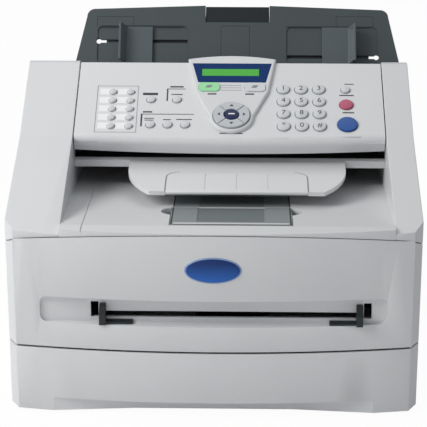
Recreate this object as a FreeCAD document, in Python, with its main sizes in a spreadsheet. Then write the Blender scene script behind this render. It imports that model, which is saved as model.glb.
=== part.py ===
import FreeCAD, Part
import math
import os
import re

import Sketcher

# Desktop fax machine. Millimetres, +Z up, the front faces -Y, and the origin is on the floor
# under the middle of the body. Every size below is one cell of the Sizes sheet.
SIZES = [
    ("body_width", 374, "outside width across the side covers"),
    ("body_depth", 366, "front of the bow to the rear wall"),
    ("front_bow", 15, "how far the front bows forward in plan"),
    ("corner_inset", 8, "front corner bevel, across"),
    ("corner_run", 14, "front corner bevel, along the side"),
    ("return_depth", 18, "how far the front pieces wrap back along the sides"),
    ("wall", 2.5, "moulded wall"),
    ("front_wall", 3, "wall of the front cover and the cassette front"),
    ("seam", 1, "gap between neighbouring covers"),
    ("fit", 0.3, "clearance between moving neighbours"),
    ("running_fit", 0.05, "radial clearance of a pin or shaft in its hole"),
    ("foot_height", 3, "rubber foot"),
    ("foot_radius", 8, "rubber foot"),
    ("foot_inset", 24, "foot centre from the outside of the body"),
    ("cassette_rise", 62, "height of the cassette front"),
    ("cover_gap", 2, "gap between the cassette front and the front cover"),
    ("cover_rise", 101, "height of the front cover at its sides"),
    ("cover_crown", 10, "rise of the front cover's top edge to the middle"),
    ("cheek_front_drop", 7, "cheek slope below the rim, carried to the front of the bow"),
    ("panel_set_back", 148, "front of the bow to the control panel's lip"),
    ("panel_lift", 41, "lip of the control panel above the well floor"),
    ("panel_slope", 26.8, "control panel slope in degrees"),
    ("panel_length", 106.4, "control panel along its slope"),
    ("panel_width", 296, "control panel"),
    ("panel_center", 12.4, "middle of the control panel"),
    ("panel_depth", 16, "side wall of the control panel"),
    ("panel_bow", 5, "bow of the control panel's lip"),
    ("panel_lip_round", 6, "rounding of the control panel's lip"),
    ("hinge_back", 9, "control panel hinge, from the rear edge"),
    ("hinge_drop", 6, "control panel hinge, below the panel face"),
    ("hinge_pin_radius", 2.5, "control panel hinge pin"),
    ("chute_drop", 30, "document chute below the panel face"),
    ("cheek_top_run", 6, "level top of a cheek behind the panel"),
    ("deck_front_rise", 18, "rear deck's front edge above the panel's lip"),
    ("deck_back_drop", 17, "rear deck's back edge below the panel's lip"),
    ("cheek_drop", 4, "lean of the drop behind a cheek's top"),
    ("path_x", 16, "middle of the paper path"),
    ("engine_width", 261, "between the engine frames"),
    ("frame_plate", 2, "engine frame sheet"),
    ("tunnel_width", 248, "cassette tunnel"),
    ("deck_plate", 4, "deck over the cassette tunnel"),
    ("base_front_set_back", 40, "front of the base frame behind the bow"),
    ("rim_depth", 18, "front rim of the output well"),
    ("rim_gap", 2, "rim at the front of the bow, above the front cover's crown"),
    ("rim_rise", 1.6, "rise of the rim to the edge of the well"),
    ("floor_drop", 0.6, "well floor below the edge of the well"),
    ("floor_slope", 5, "fall of the well floor to the rear in degrees"),
    ("floor_length", 250, "well floor along the depth"),
    ("floor_plate", 6, "well floor thickness"),
    ("floor_seam_x", -117, "seam line in the well floor"),
    ("flap_center", 15.5, "middle of the support flap"),
    ("flap_width", 109, "support flap"),
    ("flap_length", 60, "support flap"),
    ("flap_plate", 3.6, "support flap thickness"),
    ("flap_set_back", 6, "flap hinge behind the rim"),
    ("flap_gap", 3, "finger gap in front of the flap's hinge"),
    ("flap_side_gap", 1, "gap at each side of the flap"),
    ("flap_pin_radius", 1.2, "flap hinge pin"),
    ("flap_panel_width", 62, "sunk panel of the flap"),
    ("flap_panel_sink", 0.8, "sunk panel of the flap"),
    ("notch_length", 12, "finger notch beside the flap, half length"),
    ("notch_width", 9, "finger notch beside the flap"),
    ("bar_height", 7, "front bar of the scanner base"),
    ("output_center", 20, "middle of the document output tray"),
    ("output_width", 206, "document output tray"),
    ("output_length", 76, "document output tray"),
    ("output_plate", 4, "document output tray thickness"),
    ("output_slope", 3.8, "document output tray in degrees"),
    ("output_round", 80, "sweep of the document output tray's front corners"),
    ("taper_run", 54, "front taper of the document output tray, along it"),
    ("taper_inset", 22, "front taper of the document output tray, across it"),
    ("extension_width", 132, "fold-out extension"),
    ("extension_length", 46, "fold-out extension"),
    ("extension_pin_radius", 1, "extension hinge pin"),
    ("tray_lean", 54, "document tray against the floor in degrees"),
    ("tray_back", 2, "foot of the document tray behind the panel"),
    ("tray_drop", 25, "foot of the document tray below the panel's rear edge"),
    ("tray_height", 83, "document tray along its slope"),
    ("tray_plate", 4, "document tray thickness"),
    ("tray_center", 18.8, "middle of the document tray"),
    ("tray_width", 325, "document tray at its widest"),
    ("tray_top_width", 303, "document tray at its top"),
    ("tray_neck", 22, "height of the narrow neck between the cheeks"),
    ("tray_crown", 4, "rise of the document tray's top to its notch"),
    ("tray_corner", 8, "top corner of the document tray"),
    ("tray_sink", 4, "neck below the foot point"),
    ("pocket_sink", 1.2, "shallow pockets of the document tray"),
    ("support_notch_width", 64.5, "notch for the document support"),
    ("support_notch_depth", 14, "notch for the document support"),
    ("support_length", 40, "folded document support"),
    ("support_plate", 2, "document support thickness"),
    ("guide_gap", 16, "height between the two guide slots"),
    ("pinion_height", 40.7, "document pinion above the tray foot"),
    ("guide_slot", 3.6, "guide slot width"),
    ("document_reach", 110, "document fin's inner face from the tray's middle"),
    ("guide_travel", 34, "travel of one document guide"),
    ("guide_base_width", 27, "document guide base"),
    ("guide_base_length", 39, "document guide base along the tray"),
    ("guide_plate", 2, "document guide base thickness"),
    ("fin_height", 15, "document guide fin"),
    ("gear_module", 1.2, "module of both guide pinions"),
    ("gear_teeth", 14, "teeth of both guide pinions"),
    ("gear_face", 4, "face width of the pinions and racks"),
    ("gear_pin_radius", 2.2, "pin of a pinion"),
    ("rack_height", 5, "rack bar behind its teeth"),
    ("rack_behind", 1.2, "racks behind the wall that carries them"),
    ("feed_reach", 112.3, "manual feed guide's inner face from the paper middle"),
    ("feed_travel", 48, "travel of one manual feed guide"),
    ("feed_left", 156, "manual feed recess, left of the body's middle"),
    ("feed_right", 156, "manual feed recess, right of the body's middle"),
    ("feed_low", 91, "manual feed recess, bottom"),
    ("feed_high", 116, "manual feed recess, top"),
    ("feed_depth", 14, "manual feed recess behind the front of the bow"),
    ("feed_slot", 6, "manual feed slot height"),
    ("feed_slot_low", 95, "manual feed slot, bottom"),
    ("feed_fin", 6, "manual feed guide fin thickness"),
    ("feed_shelf", 24, "manual feed guide shelf"),
    ("cover_hinge_back", 7.5, "front cover hinge behind the front of the bow"),
    ("corner_fall", 9, "fall of the front cover's top edge round its corner"),
    ("cover_hinge_rise", 8, "front cover hinge above the cover's bottom"),
    ("cover_pin_radius", 1.8, "front cover hinge pin"),
    ("cover_pin_spread", 80, "between the front cover's hinge lugs"),
    ("scoop_half", 146, "half width of the finger scoop under the cassette"),
    ("scoop_flat", 73, "half width of the flat back of the scoop"),
    ("scoop_height", 13, "finger scoop"),
    ("scoop_depth", 16, "finger scoop"),
    ("swing_bevel", 1.2, "bevel of the cassette front's top edge, under the cover's swing"),
    ("cassette_end_gap", 35, "behind the paper cassette"),
    ("cassette_wall", 2.4, "paper cassette wall"),
    ("cassette_side", 44, "paper cassette wall height"),
    ("plate_length", 180, "pressure plate"),
    ("plate_width", 206, "pressure plate"),
    ("plate_sheet", 1.5, "pressure plate"),
    ("door_width", 232, "back door"),
    ("door_height", 96, "back door"),
    ("door_low", 84, "back door's bottom edge"),
    ("door_pin_radius", 2, "back door hinge pin"),
    ("shaft_radius", 4, "roller shafts"),
    ("pickup_y", -98, "pickup roller"),
    ("pickup_z", 80, "pickup roller"),
    ("pickup_radius", 15, "pickup roller"),
    ("pickup_length", 60, "pickup roller"),
    ("drum_y", -8, "photo drum"),
    ("drum_z", 100, "photo drum"),
    ("drum_radius", 12, "photo drum"),
    ("fuser_y", 110, "fuser rollers"),
    ("heat_z", 122, "heat roller"),
    ("fuser_radius", 12, "heat and pressure rollers"),
    ("roller_length", 220, "drum, heat and pressure rollers"),
    ("feed_roller_u", 74, "document feed roller along the chute"),
    ("feed_roller_radius", 9, "document feed roller"),
    ("feed_roller_proud", 2, "document feed roller above the chute"),
    ("feed_roller_length", 90, "document feed roller"),
    ("sensor_u", 34, "image sensor along the chute"),
    ("sensor_length", 226, "image sensor"),
    ("sensor_width", 18, "image sensor"),
    ("sensor_depth", 12, "image sensor"),
    ("key_travel", 1, "key travel"),
    ("key_proud", 2, "keys above the panel"),
    ("key_dome", 0.5, "crown of a key"),
    ("key_flange", 1, "retaining flange of a key"),
    ("key_gap", 0.25, "gap round a key"),
    ("board_plate", 1.6, "circuit boards and the key board"),
    ("main_board_inset", 36.4, "main board, from the side of the body"),
    ("power_board_inset", 14.4, "power board, from the side of the body"),
    ("number_x", 64.2, "left column of the number keys"),
    ("number_pitch_x", 17.25, "number keys across"),
    ("number_u", 67.9, "top row of the number keys along the panel"),
    ("number_pitch_u", 17.23, "number keys along the panel"),
    ("number_radius", 6, "number keys"),
    ("start_x", 125.1, "start key"),
    ("start_u", 19.1, "start key"),
    ("start_radius", 9.6, "start key"),
    ("stop_x", 124.8, "stop key"),
    ("stop_u", 46.6, "stop key"),
    ("stop_radius", 6.5, "stop key"),
    ("report_x", 124.6, "report key"),
    ("report_u", 67.5, "report key"),
    ("function_radius", 4.2, "function keys"),
    ("option_u", 52.6, "shift and options keys"),
    ("shift_x", -64, "shift key"),
    ("option_x", -39, "options key"),
    ("fax_key_x", -63.5, "left fax key"),
    ("fax_key_pitch", 16.65, "fax keys across"),
    ("fax_key_u", 17.6, "fax keys along the panel"),
    ("touch_x", -101.2, "left column of one-touch keys"),
    ("touch_pitch_x", 17.2, "one-touch keys across"),
    ("touch_u", 63.1, "top row of one-touch keys"),
    ("touch_pitch_u", 11.93, "one-touch keys along the panel"),
    ("touch_radius", 3.4, "one-touch keys"),
    ("nav_x", 14.2, "navigation keys"),
    ("nav_u", 27.6, "navigation keys"),
    ("nav_radius", 17.6, "navigation ring"),
    ("ok_radius", 7, "centre key of the navigation ring"),
    ("console_rise", 3.4, "console above the panel"),
    ("console_top_width", 87, "console at the rear edge"),
    ("console_waist", 72, "console where its sides turn in"),
    ("console_waist_u", 62, "console where its sides turn in, along the panel"),
    ("console_round", 21.5, "round end of the console"),
    ("console_overhang", 3, "console past the panel's rear edge"),
    ("console_bow", 5, "bow of the console's rear edge"),
    ("window_low", 74.4, "display window along the panel"),
    ("window_high", 102, "display window along the panel"),
    ("window_low_width", 66, "display window"),
    ("window_high_width", 78, "display window"),
    ("window_sink", 2, "display window thickness"),
    ("mode_low", 61.4, "mode keys along the panel"),
    ("mode_high", 73.4, "mode keys along the panel"),
    ("mode_width", 20.5, "mode key"),
    ("mode_spread", 44.5, "mode keys, middle to middle"),
    ("mode_corner", 4, "corners of a mode key"),
    ("lug_plate", 6, "front cover hinge lug on the base frame"),
    ("lug_radius", 3.2, "front cover hinge lug"),
    ("lug_foot", 13, "lug's footing on the deck"),
    ("ear_plate", 4, "front cover's hinge ear"),
    ("flap_pin_drop", 1.3, "flap hinge below the floor"),
    ("flap_pin_length", 3, "flap hinge pin"),
    ("hinge_pin_length", 3, "control panel hinge pin"),
    ("door_lug", 6, "back door hinge lug"),
    ("door_barrel", 2.6, "back door hinge barrel"),
    ("door_pin_length", 4, "back door hinge pin"),
    ("laser_low", 138, "laser unit, underside"),
    ("laser_rise", 18, "laser unit"),
    ("toner_low", 100, "toner cartridge, underside"),
    ("toner_rise", 34, "toner cartridge"),
    ("feed_shaft_length", 120, "document feed roller's shaft"),
    ("jack_inset", 20, "line jacks, from the side of the body"),
    ("inlet_inset", 18.5, "mains inlet, from the side of the body"),
    ("socket_depth", 14, "rear sockets"),
    ("jack_low", 130, "lower line jack"),
    ("jack_pitch", 20, "line jacks, apart"),
    ("jack_width", 15, "line jack"),
    ("jack_height", 13, "line jack"),
    ("inlet_low", 40, "mains inlet"),
    ("inlet_width", 26, "mains inlet"),
    ("inlet_height", 22, "mains inlet"),
    ("feed_round", 7, "corners of the manual feed recess"),
    ("rack_addendum", 1, "teeth above the pitch line"),
    ("rack_dedendum", 1.4, "teeth below the pitch line"),
    ("tooth_tip", 0.43, "half width of a tooth's tip"),
    ("tooth_root", 1.3, "half width of a tooth's root"),
    ("tooth_sink", 0.2, "root of a tooth sunk into its bar or hub"),
    ("rack_spare", 3, "whole pitches of a rack past the pinion"),
    ("plate_set_back", 184, "pressure plate's hinge, behind the front of the bin"),
    ("plate_pin_radius", 1.5, "pressure plate's hinge rod"),
    ("extension_round", 12, "rear corners of the extension"),
    ("extension_pin_length", 3, "extension hinge pin"),
    ("slot_near", 50, "guide slot's inner end from the tray's middle"),
    ("slot_far", 139, "guide slot's outer end from the tray's middle"),
    ("pocket_near", 49, "tray pocket's inner side from the tray's middle"),
    ("pocket_far", 140.5, "tray pocket's outer side from the tray's middle"),
    ("pocket_top", 65, "top of the tray pockets"),
    ("pocket_round", 6, "corners of the tray pockets"),
    ("rail_plate", 3, "rails of the document support"),
    ("rail_depth", 9, "rails of the document support"),
    ("fin_flare", 6, "how far a document fin leans out"),
    ("key_roll", 0.8, "rolled top edge of a key"),
    ("nav_groove", 1.2, "grooves of the navigation ring"),
    ("console_roll", 2.4, "rolled edge of the console"),
]

# Places that several pieces share, worked out from the sizes.
PLACES = [
    ("half_width", "body_width / 2"),
    ("front_y", "-body_depth / 2"),
    ("rear_y", "body_depth / 2"),
    ("shoulder_x", "half_width - corner_inset"),
    ("shoulder_y", "front_y + front_bow"),
    ("front_radius", "(shoulder_x ^ 2 + front_bow ^ 2) / (2 * front_bow)"),
    ("return_y", "shoulder_y + return_depth"),
    ("side_front_y", "return_y + seam"),
    ("bin_front_y", "shoulder_y + 4"),
    ("cassette_length", "rear_y - cassette_end_gap - bin_front_y"),
    ("plate_y", "bin_front_y + plate_set_back"),
    ("cassette_top", "foot_height + cassette_rise"),
    ("cover_bottom", "cassette_top + cover_gap"),
    ("cover_side_top", "cover_bottom + cover_rise"),
    ("rim_front_height", "cover_side_top + cover_crown + rim_gap"),
    ("rim_back_height", "rim_front_height + rim_rise"),
    ("floor_height", "rim_back_height - floor_drop"),
    ("cheek_front_height", "rim_front_height - cheek_front_drop"),
    ("panel_height", "floor_height + panel_lift"),
    ("deck_front_height", "panel_height + deck_front_rise"),
    ("deck_back_height", "panel_height - deck_back_drop"),
    ("arch_radius", "(half_width ^ 2 + cover_crown ^ 2) / (2 * cover_crown)"),
    ("cover_hinge_y", "front_y + cover_hinge_back"),
    ("cover_hinge_z", "cover_bottom + cover_hinge_rise"),
    ("slope_cos", "cos(panel_slope * 1deg)"),
    ("slope_sin", "sin(panel_slope * 1deg)"),
    ("lip_y", "front_y + panel_set_back"),
    ("panel_rear_y", "lip_y + panel_length * slope_cos"),
    ("panel_rear_z", "panel_height + panel_length * slope_sin"),
    ("panel_left", "panel_center - panel_width / 2"),
    ("panel_right", "panel_center + panel_width / 2"),
    ("cheek_left", "panel_left - seam"),
    ("cheek_right", "panel_right + seam"),
    ("cheek_end_y", "panel_rear_y + cheek_top_run"),
    ("hinge_u", "panel_length - hinge_back"),
    ("tunnel_top", "cassette_top + 1"),
    ("deck_top", "tunnel_top + deck_plate"),
    ("tunnel_left", "path_x - tunnel_width / 2"),
    ("tunnel_right", "path_x + tunnel_width / 2"),
    ("engine_left", "path_x - engine_width / 2"),
    ("engine_right", "path_x + engine_width / 2"),
    ("base_front_y", "front_y + base_front_set_back"),
    ("floor_y", "front_y + rim_depth"),
    ("floor_fall", "tan(floor_slope * 1deg)"),
    ("floor_end_y", "floor_y + floor_length"),
    ("floor_end_z", "floor_height - floor_length * floor_fall"),
    ("chute_y", "lip_y + chute_drop * slope_sin"),
    ("chute_z", "panel_height - chute_drop * slope_cos"),
    ("lean_cos", "cos(tray_lean * 1deg)"),
    ("lean_sin", "sin(tray_lean * 1deg)"),
    ("tray_foot_y", "panel_rear_y + tray_back"),
    ("tray_foot_z", "panel_rear_z - tray_drop"),
    ("scanner_end_y", "tray_foot_y + 22"),
    ("gear_radius", "gear_module * gear_teeth / 2"),
    ("gear_pitch", "gear_module * pi"),
    ("feed_wall_y", "front_y + feed_depth"),
    ("feed_pinion_z", "feed_slot_low + feed_slot + rack_height + rack_dedendum + gear_radius"),
    ("flap_y", "floor_y + flap_set_back"),
    ("deck_y", "scanner_end_y"),
    ("deck_fall", "(deck_front_height - deck_back_height) / (rear_y - cheek_end_y - cheek_drop)"),
    ("door_axis_z", "door_low + fit + door_barrel"),
    ("pressure_z", "heat_z - 2 * fuser_radius - fit"),
    ("key_depth", "wall + key_flange + key_gap"),
    ("board_drop", "key_depth + key_travel + key_gap"),
]

doc = FreeCAD.newDocument("FaxMachine")
sizes = doc.addObject("Spreadsheet::Sheet", "Sizes")
places = doc.addObject("Spreadsheet::Sheet", "Places")
SHEET_OF = {alias: "Sizes" for alias, _, _ in SIZES}
SHEET_OF.update({alias: "Places" for alias, _ in PLACES})


def bound(text):
    """The expression with each size or place named in its sheet."""
    def named(match):
        word = match.group(0)
        return f"{SHEET_OF[word]}.{word}" if word in SHEET_OF else word
    return re.sub(r"[a-z][a-z_]*", named, str(text))


for row, (alias, millimetres, note) in enumerate(SIZES, start=1):
    sizes.set(f"A{row}", str(millimetres))
    sizes.setAlias(f"A{row}", alias)
    sizes.set(f"B{row}", note)
for row, (alias, formula) in enumerate(PLACES, start=1):
    places.set(f"A{row}", "=" + bound(formula))
    places.setAlias(f"A{row}", alias)
doc.recompute()

subparts = []


def number(text):
    """The present value of an expression."""
    return float(sizes.evalExpression(bound(text)))


def finish(label, item):
    """Names an object and lists it as a sub-part."""
    item.Label = label
    subparts.append(item)
    return item


FRAMES = {
    "panel": ("lip_y", "panel_height", "panel_slope"),
    "tray": ("tray_foot_y", "tray_foot_z", "tray_lean"),
    "flap": ("flap_y", "floor_height - flap_set_back * floor_fall", "-floor_slope"),
    "output": ("chute_y", "chute_z", "output_slope"),
}


def seat(item, frame):
    """Places an object in one of the tilted frames."""
    base_y, base_z, angle = FRAMES[frame]
    item.Placement = FreeCAD.Placement(
        FreeCAD.Vector(0, number(base_y), number(base_z)),
        FreeCAD.Rotation(FreeCAD.Vector(1, 0, 0), number(angle)))
    item.setExpression("Placement.Base.y", bound(base_y))
    item.setExpression("Placement.Base.z", bound(base_z))
    item.setExpression("Placement.Rotation.Angle", bound(angle))


class Piece:
    """A body of sketched features. Each feature starts at the low side of its span."""

    def __init__(self, label, frame=None, listed=True):
        self.body = doc.addObject("PartDesign::Body", label)
        self.frame = frame
        if listed:
            finish(label, self.body)

    def sketch(self, plane, low, length, shift=("0", "0")):
        item = self.body.newObject("Sketcher::SketchObject", "Sketch")
        for feature in self.body.Origin.OriginFeatures:
            if feature.Role == plane + "_Plane":
                item.AttachmentSupport = (feature, [""])
        item.MapMode = "FlatFace"
        across = f"-({low} + {length})" if plane == "XZ" else low
        for axis, value in zip("xyz", (shift[0], shift[1], across)):
            item.setExpression(f"AttachmentOffset.Base.{axis}", bound(value))
        return item

    def feature(self, kind, plane, loops, low, length):
        profile = self.sketch(plane, low, length)
        for loop in loops:
            draw(profile, loop)
        item = self.body.newObject("PartDesign::" + kind, kind)
        item.Profile = profile
        item.setExpression("Length", bound(length))
        item.Reversed = kind == "Pocket"
        return item

    def pad(self, plane, loops, low, length):
        return self.feature("Pad", plane, loops, low, length)

    def cut(self, plane, loops, low, length):
        return self.feature("Pocket", plane, loops, low, length)

    def turn(self, x, y, profile, kind="Revolution"):
        """A turned shape about the local vertical through x, y."""
        item = self.sketch("XZ", f"{y}", "0", (x, "0"))
        draw(item, profile)
        turned = self.body.newObject("PartDesign::" + kind, kind)
        turned.Profile = item
        turned.ReferenceAxis = (item, ["V_Axis"])
        turned.Angle = 360
        return turned

    def fillet(self, radius, wanted):
        """Rounds the edges whose middle point passes the test."""
        doc.recompute()
        base = self.body.Tip
        names = []
        for index, edge in enumerate(base.Shape.Edges, start=1):
            middle = edge.valueAt((edge.FirstParameter + edge.LastParameter) / 2)
            if wanted(edge, middle):
                names.append(f"Edge{index}")
        item = self.body.newObject("PartDesign::Fillet", "Fillet")
        item.Base = (base, names)
        item.setExpression("Radius", bound(radius))
        return item

    def done(self):
        if self.frame:
            seat(self.body, self.frame)
        return self.body


def arc_between(first, second, radius, side):
    """The short arc between two points, its centre to the left for side 1."""
    start = FreeCAD.Vector(*first, 0)
    end = FreeCAD.Vector(*second, 0)
    chord = end - start
    half = chord.Length / 2
    rise = math.sqrt(max(radius * radius - half * half, 0))
    left = FreeCAD.Vector(-chord.y, chord.x, 0).normalize()
    center = (start + end) * 0.5 + left * (rise * side)
    outward = ((start + end) * 0.5 - center)
    if outward.Length < 1e-9:
        outward = left * -side
    middle = center + outward.normalize() * radius
    return Part.Arc(start, middle, end)


def draw(sketch, loop):
    """Adds a closed loop or a circle, with every place and radius bound to the sheets.

    A circle is (x, y, radius). A loop is a list of (x, y) points, and a point with a radius
    and a side starts an arc to the next point.
    """
    first = len(sketch.Geometry)
    if isinstance(loop, tuple):
        x, y, radius = loop
        center = FreeCAD.Vector(number(x), number(y), 0)
        sketch.addGeometry(Part.Circle(center, FreeCAD.Vector(0, 0, 1), number(radius)))
        pin(sketch, "Radius", (first,), radius)
        pin(sketch, "DistanceX", (-1, 1, first, 3), x)
        pin(sketch, "DistanceY", (-1, 1, first, 3), y)
        return
    points = [(number(corner[0]), number(corner[1])) for corner in loop]
    count = len(loop)
    for index, corner in enumerate(loop):
        here = points[index]
        there = points[(index + 1) % count]
        if len(corner) == 4:
            curve = arc_between(here, there, number(corner[2]), corner[3])
            sketch.addGeometry(curve)
        else:
            sketch.addGeometry(Part.LineSegment(FreeCAD.Vector(*here, 0), FreeCAD.Vector(*there, 0)))
    ends = []
    for index, corner in enumerate(loop):
        turned = len(corner) == 4 and corner[3] < 0
        ends.append((2, 1) if turned else (1, 2))
    for index in range(count):
        following = (index + 1) % count
        sketch.addConstraint(Sketcher.Constraint(
            "Coincident", first + index, ends[index][1], first + following, ends[following][0]))
    for index, corner in enumerate(loop):
        place = (-1, 1, first + index, ends[index][0])
        pin(sketch, "DistanceX", place, corner[0])
        pin(sketch, "DistanceY", place, corner[1])
        if len(corner) == 4:
            pin(sketch, "Radius", (first + index,), corner[2])


def pin(sketch, kind, where, text):
    """Adds one constraint bound to an expression."""
    index = sketch.addConstraint(Sketcher.Constraint(kind, *where, number(text)))
    sketch.setExpression(f"Constraints[{index}]", bound(text))


def block(low_x, high_x, low_y, high_y):
    return [(low_x, low_y), (high_x, low_y), (high_x, high_y), (low_x, high_y)]


def rounded(low_x, high_x, low_y, high_y, radius):
    return [
        (f"{low_x} + {radius}", low_y), (f"{high_x} - {radius}", low_y, radius, 1),
        (high_x, f"{low_y} + {radius}"), (high_x, f"{high_y} - {radius}", radius, 1),
        (f"{high_x} - {radius}", high_y), (f"{low_x} + {radius}", high_y, radius, 1),
        (low_x, f"{high_y} - {radius}"), (low_x, f"{low_y} + {radius}", radius, 1)]


def slope_point(along, drop):
    """World Y and Z of a point along the panel, a drop below its face."""
    return (f"lip_y + ({along}) * slope_cos + ({drop}) * slope_sin",
            f"panel_height + ({along}) * slope_sin - ({drop}) * slope_cos")


def lean_point(along, drop):
    """World Y and Z of a point up the document tray, a drop behind its face."""
    return (f"tray_foot_y + ({along}) * lean_cos + ({drop}) * lean_sin",
            f"tray_foot_z + ({along}) * lean_sin - ({drop}) * lean_cos")


def floor_z(y):
    return f"(floor_height - ({y} - floor_y) * floor_fall)"


def front_band(inset, back_y):
    """Points of the bowed front outline from right to left, set in by a wall."""
    run = f"shoulder_y + corner_run + {inset} / 2"
    return [
        (f"half_width - {inset}", back_y), (f"half_width - {inset}", run),
        (f"shoulder_x - {inset} / 2", f"shoulder_y + {inset}", f"front_radius - {inset}", -1),
        (f"-shoulder_x + {inset} / 2", f"shoulder_y + {inset}"),
        (f"-half_width + {inset}", run), (f"-half_width + {inset}", back_y)]


def reversed_loop(points):
    """The same outline walked the other way, with its arcs turned over."""
    walked = []
    count = len(points)
    for index in range(count - 1, -1, -1):
        arc = points[index - 1][2:]
        corner = points[index][:2]
        walked.append(corner + ((arc[0], -arc[1]) if arc else ()))
    return walked


def trim_front(piece):
    """Cuts a cover to the bowed front and its corner bevels."""
    band = reversed_loop(front_band("0", "return_y"))
    band = [corner[:2] if index == 5 else corner for index, corner in enumerate(band)]
    beyond = "front_y - 60"
    loop = band + [("half_width + 30", "return_y"), ("half_width + 30", beyond),
                   ("-half_width - 30", beyond), ("-half_width - 30", "return_y")]
    piece.cut("XY", [loop], "0", "panel_rear_z + 50")


def trim_arch(piece, clearance, back_y):
    """Cuts away what lies under the arched seam over the front cover."""
    side = f"cover_side_top + {clearance}"
    loop = [("-half_width - 1", "-1"), ("half_width + 1", "-1"), ("half_width + 1", side),
            ("half_width", side, "arch_radius", 1), ("-half_width", side), ("-half_width - 1", side)]
    piece.cut("XZ", [loop], "front_y - 60", f"{back_y} - (front_y - 60)")


def cheek_profile(inset, bottom):
    """Side view of a cheek, set in by a wall from its top and rear."""
    rise = f"({inset}) * 1.05"
    slope = "(panel_height - cheek_front_height) / panel_set_back"
    return [
        ("front_y - 20", bottom), (f"rear_y - {inset}", bottom),
        (f"rear_y - {inset}", f"deck_back_height - {rise}"),
        (f"cheek_end_y + cheek_drop - {inset}", f"deck_front_height - {rise}"),
        (f"cheek_end_y - {inset}", f"panel_rear_z - {rise}"),
        ("panel_rear_y", f"panel_rear_z - {rise}"),
        ("lip_y", f"panel_height - {rise}"),
        ("front_y - 20", f"cheek_front_height - 20 * {slope} - {rise}")]


def side_cover(label, low_x, width, inner_x, sockets=False):
    """One side of the housing: outer wall, cheek top and the upper inner wall."""
    piece = Piece(label)
    piece.pad("YZ", [cheek_profile("0", "foot_height")], low_x, width)
    trim_front(piece)
    trim_arch(piece, "seam", "shoulder_y")
    corner = [("shoulder_y - 1", "0"), ("side_front_y", "0"),
              ("side_front_y", "cover_side_top + seam - corner_fall"),
              ("shoulder_y", "cover_side_top + seam"), ("shoulder_y - 1", "cover_side_top + seam")]
    piece.cut("YZ", [corner], "-half_width - 1", "body_width + 2")
    hollow = [("side_front_y + wall", "0")] + cheek_profile("wall", "0")[1:-1]
    hollow = hollow + [("side_front_y + wall", "cheek_front_height - wall")]
    piece.cut("YZ", [hollow], f"{low_x} + wall", f"{width} - 2 * wall")
    piece.cut("YZ", [block("side_front_y - 50", "rear_y - wall", "0", "floor_end_z - floor_plate - 4")],
              inner_x, "wall")
    pin_y, pin_z = slope_point("hinge_u", "hinge_drop")
    piece.cut("YZ", [(pin_y, pin_z, "hinge_pin_radius + running_fit")], inner_x, "wall")
    if sockets:
        for inset, low_z, across, height in SOCKETS:
            middle = f"-half_width + {inset}"
            opening = block(f"{middle} - {across} / 2", f"{middle} + {across} / 2", low_z,
                            f"{low_z} + {height}")
            piece.cut("XZ", [opening], "rear_y - 2 * wall", "3 * wall")
    return piece.done()


def base_frame():
    """Lower frame round the cassette tunnel, with the front cover's hinge lugs."""
    piece = Piece("base_frame")
    outer = "(half_width - wall)"
    section = [(f"-{outer}", "foot_height"), ("tunnel_left", "foot_height"),
               ("tunnel_left", "tunnel_top"),
               ("tunnel_right", "tunnel_top"), ("tunnel_right", "foot_height"), (outer, "foot_height"),
               (outer, "deck_top"), (f"-{outer}", "deck_top")]
    piece.pad("XZ", [section], "base_front_y", "rear_y - wall - base_front_y")
    rails = [block(f"-{outer} + wall", "tunnel_left - wall", "foot_height + wall", "deck_top - wall"),
             block("tunnel_right + wall", f"{outer} - wall", "foot_height + wall", "deck_top - wall")]
    piece.cut("XZ", rails, "base_front_y", "rear_y - wall - base_front_y")
    window = block("path_x - pickup_length / 2 - 4", "path_x + pickup_length / 2 + 4",
                   "pickup_y - pickup_radius - 3", "pickup_y + pickup_radius + 3")
    piece.cut("XY", [window], "tunnel_top", "deck_plate")
    for side in ("-1", "1"):
        low_x = f"{side} * cover_pin_spread / 2 - lug_plate / 2"
        arm = [("base_front_y + lug_foot", "deck_top"),
               ("base_front_y + lug_foot", "cover_hinge_z + lug_radius"),
               ("cover_hinge_y", "cover_hinge_z + lug_radius", "lug_radius", 1),
               ("cover_hinge_y - lug_radius", "cover_hinge_z", "lug_radius", 1),
               ("cover_hinge_y", "cover_hinge_z - lug_radius"),
               ("base_front_y", "cover_hinge_z - lug_radius"),
               ("base_front_y", "deck_top")]
        piece.pad("YZ", [arm], low_x, "lug_plate")
        piece.cut("YZ", [("cover_hinge_y", "cover_hinge_z", "cover_pin_radius + running_fit")], low_x,
                  "lug_plate")
    return piece.done()


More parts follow.
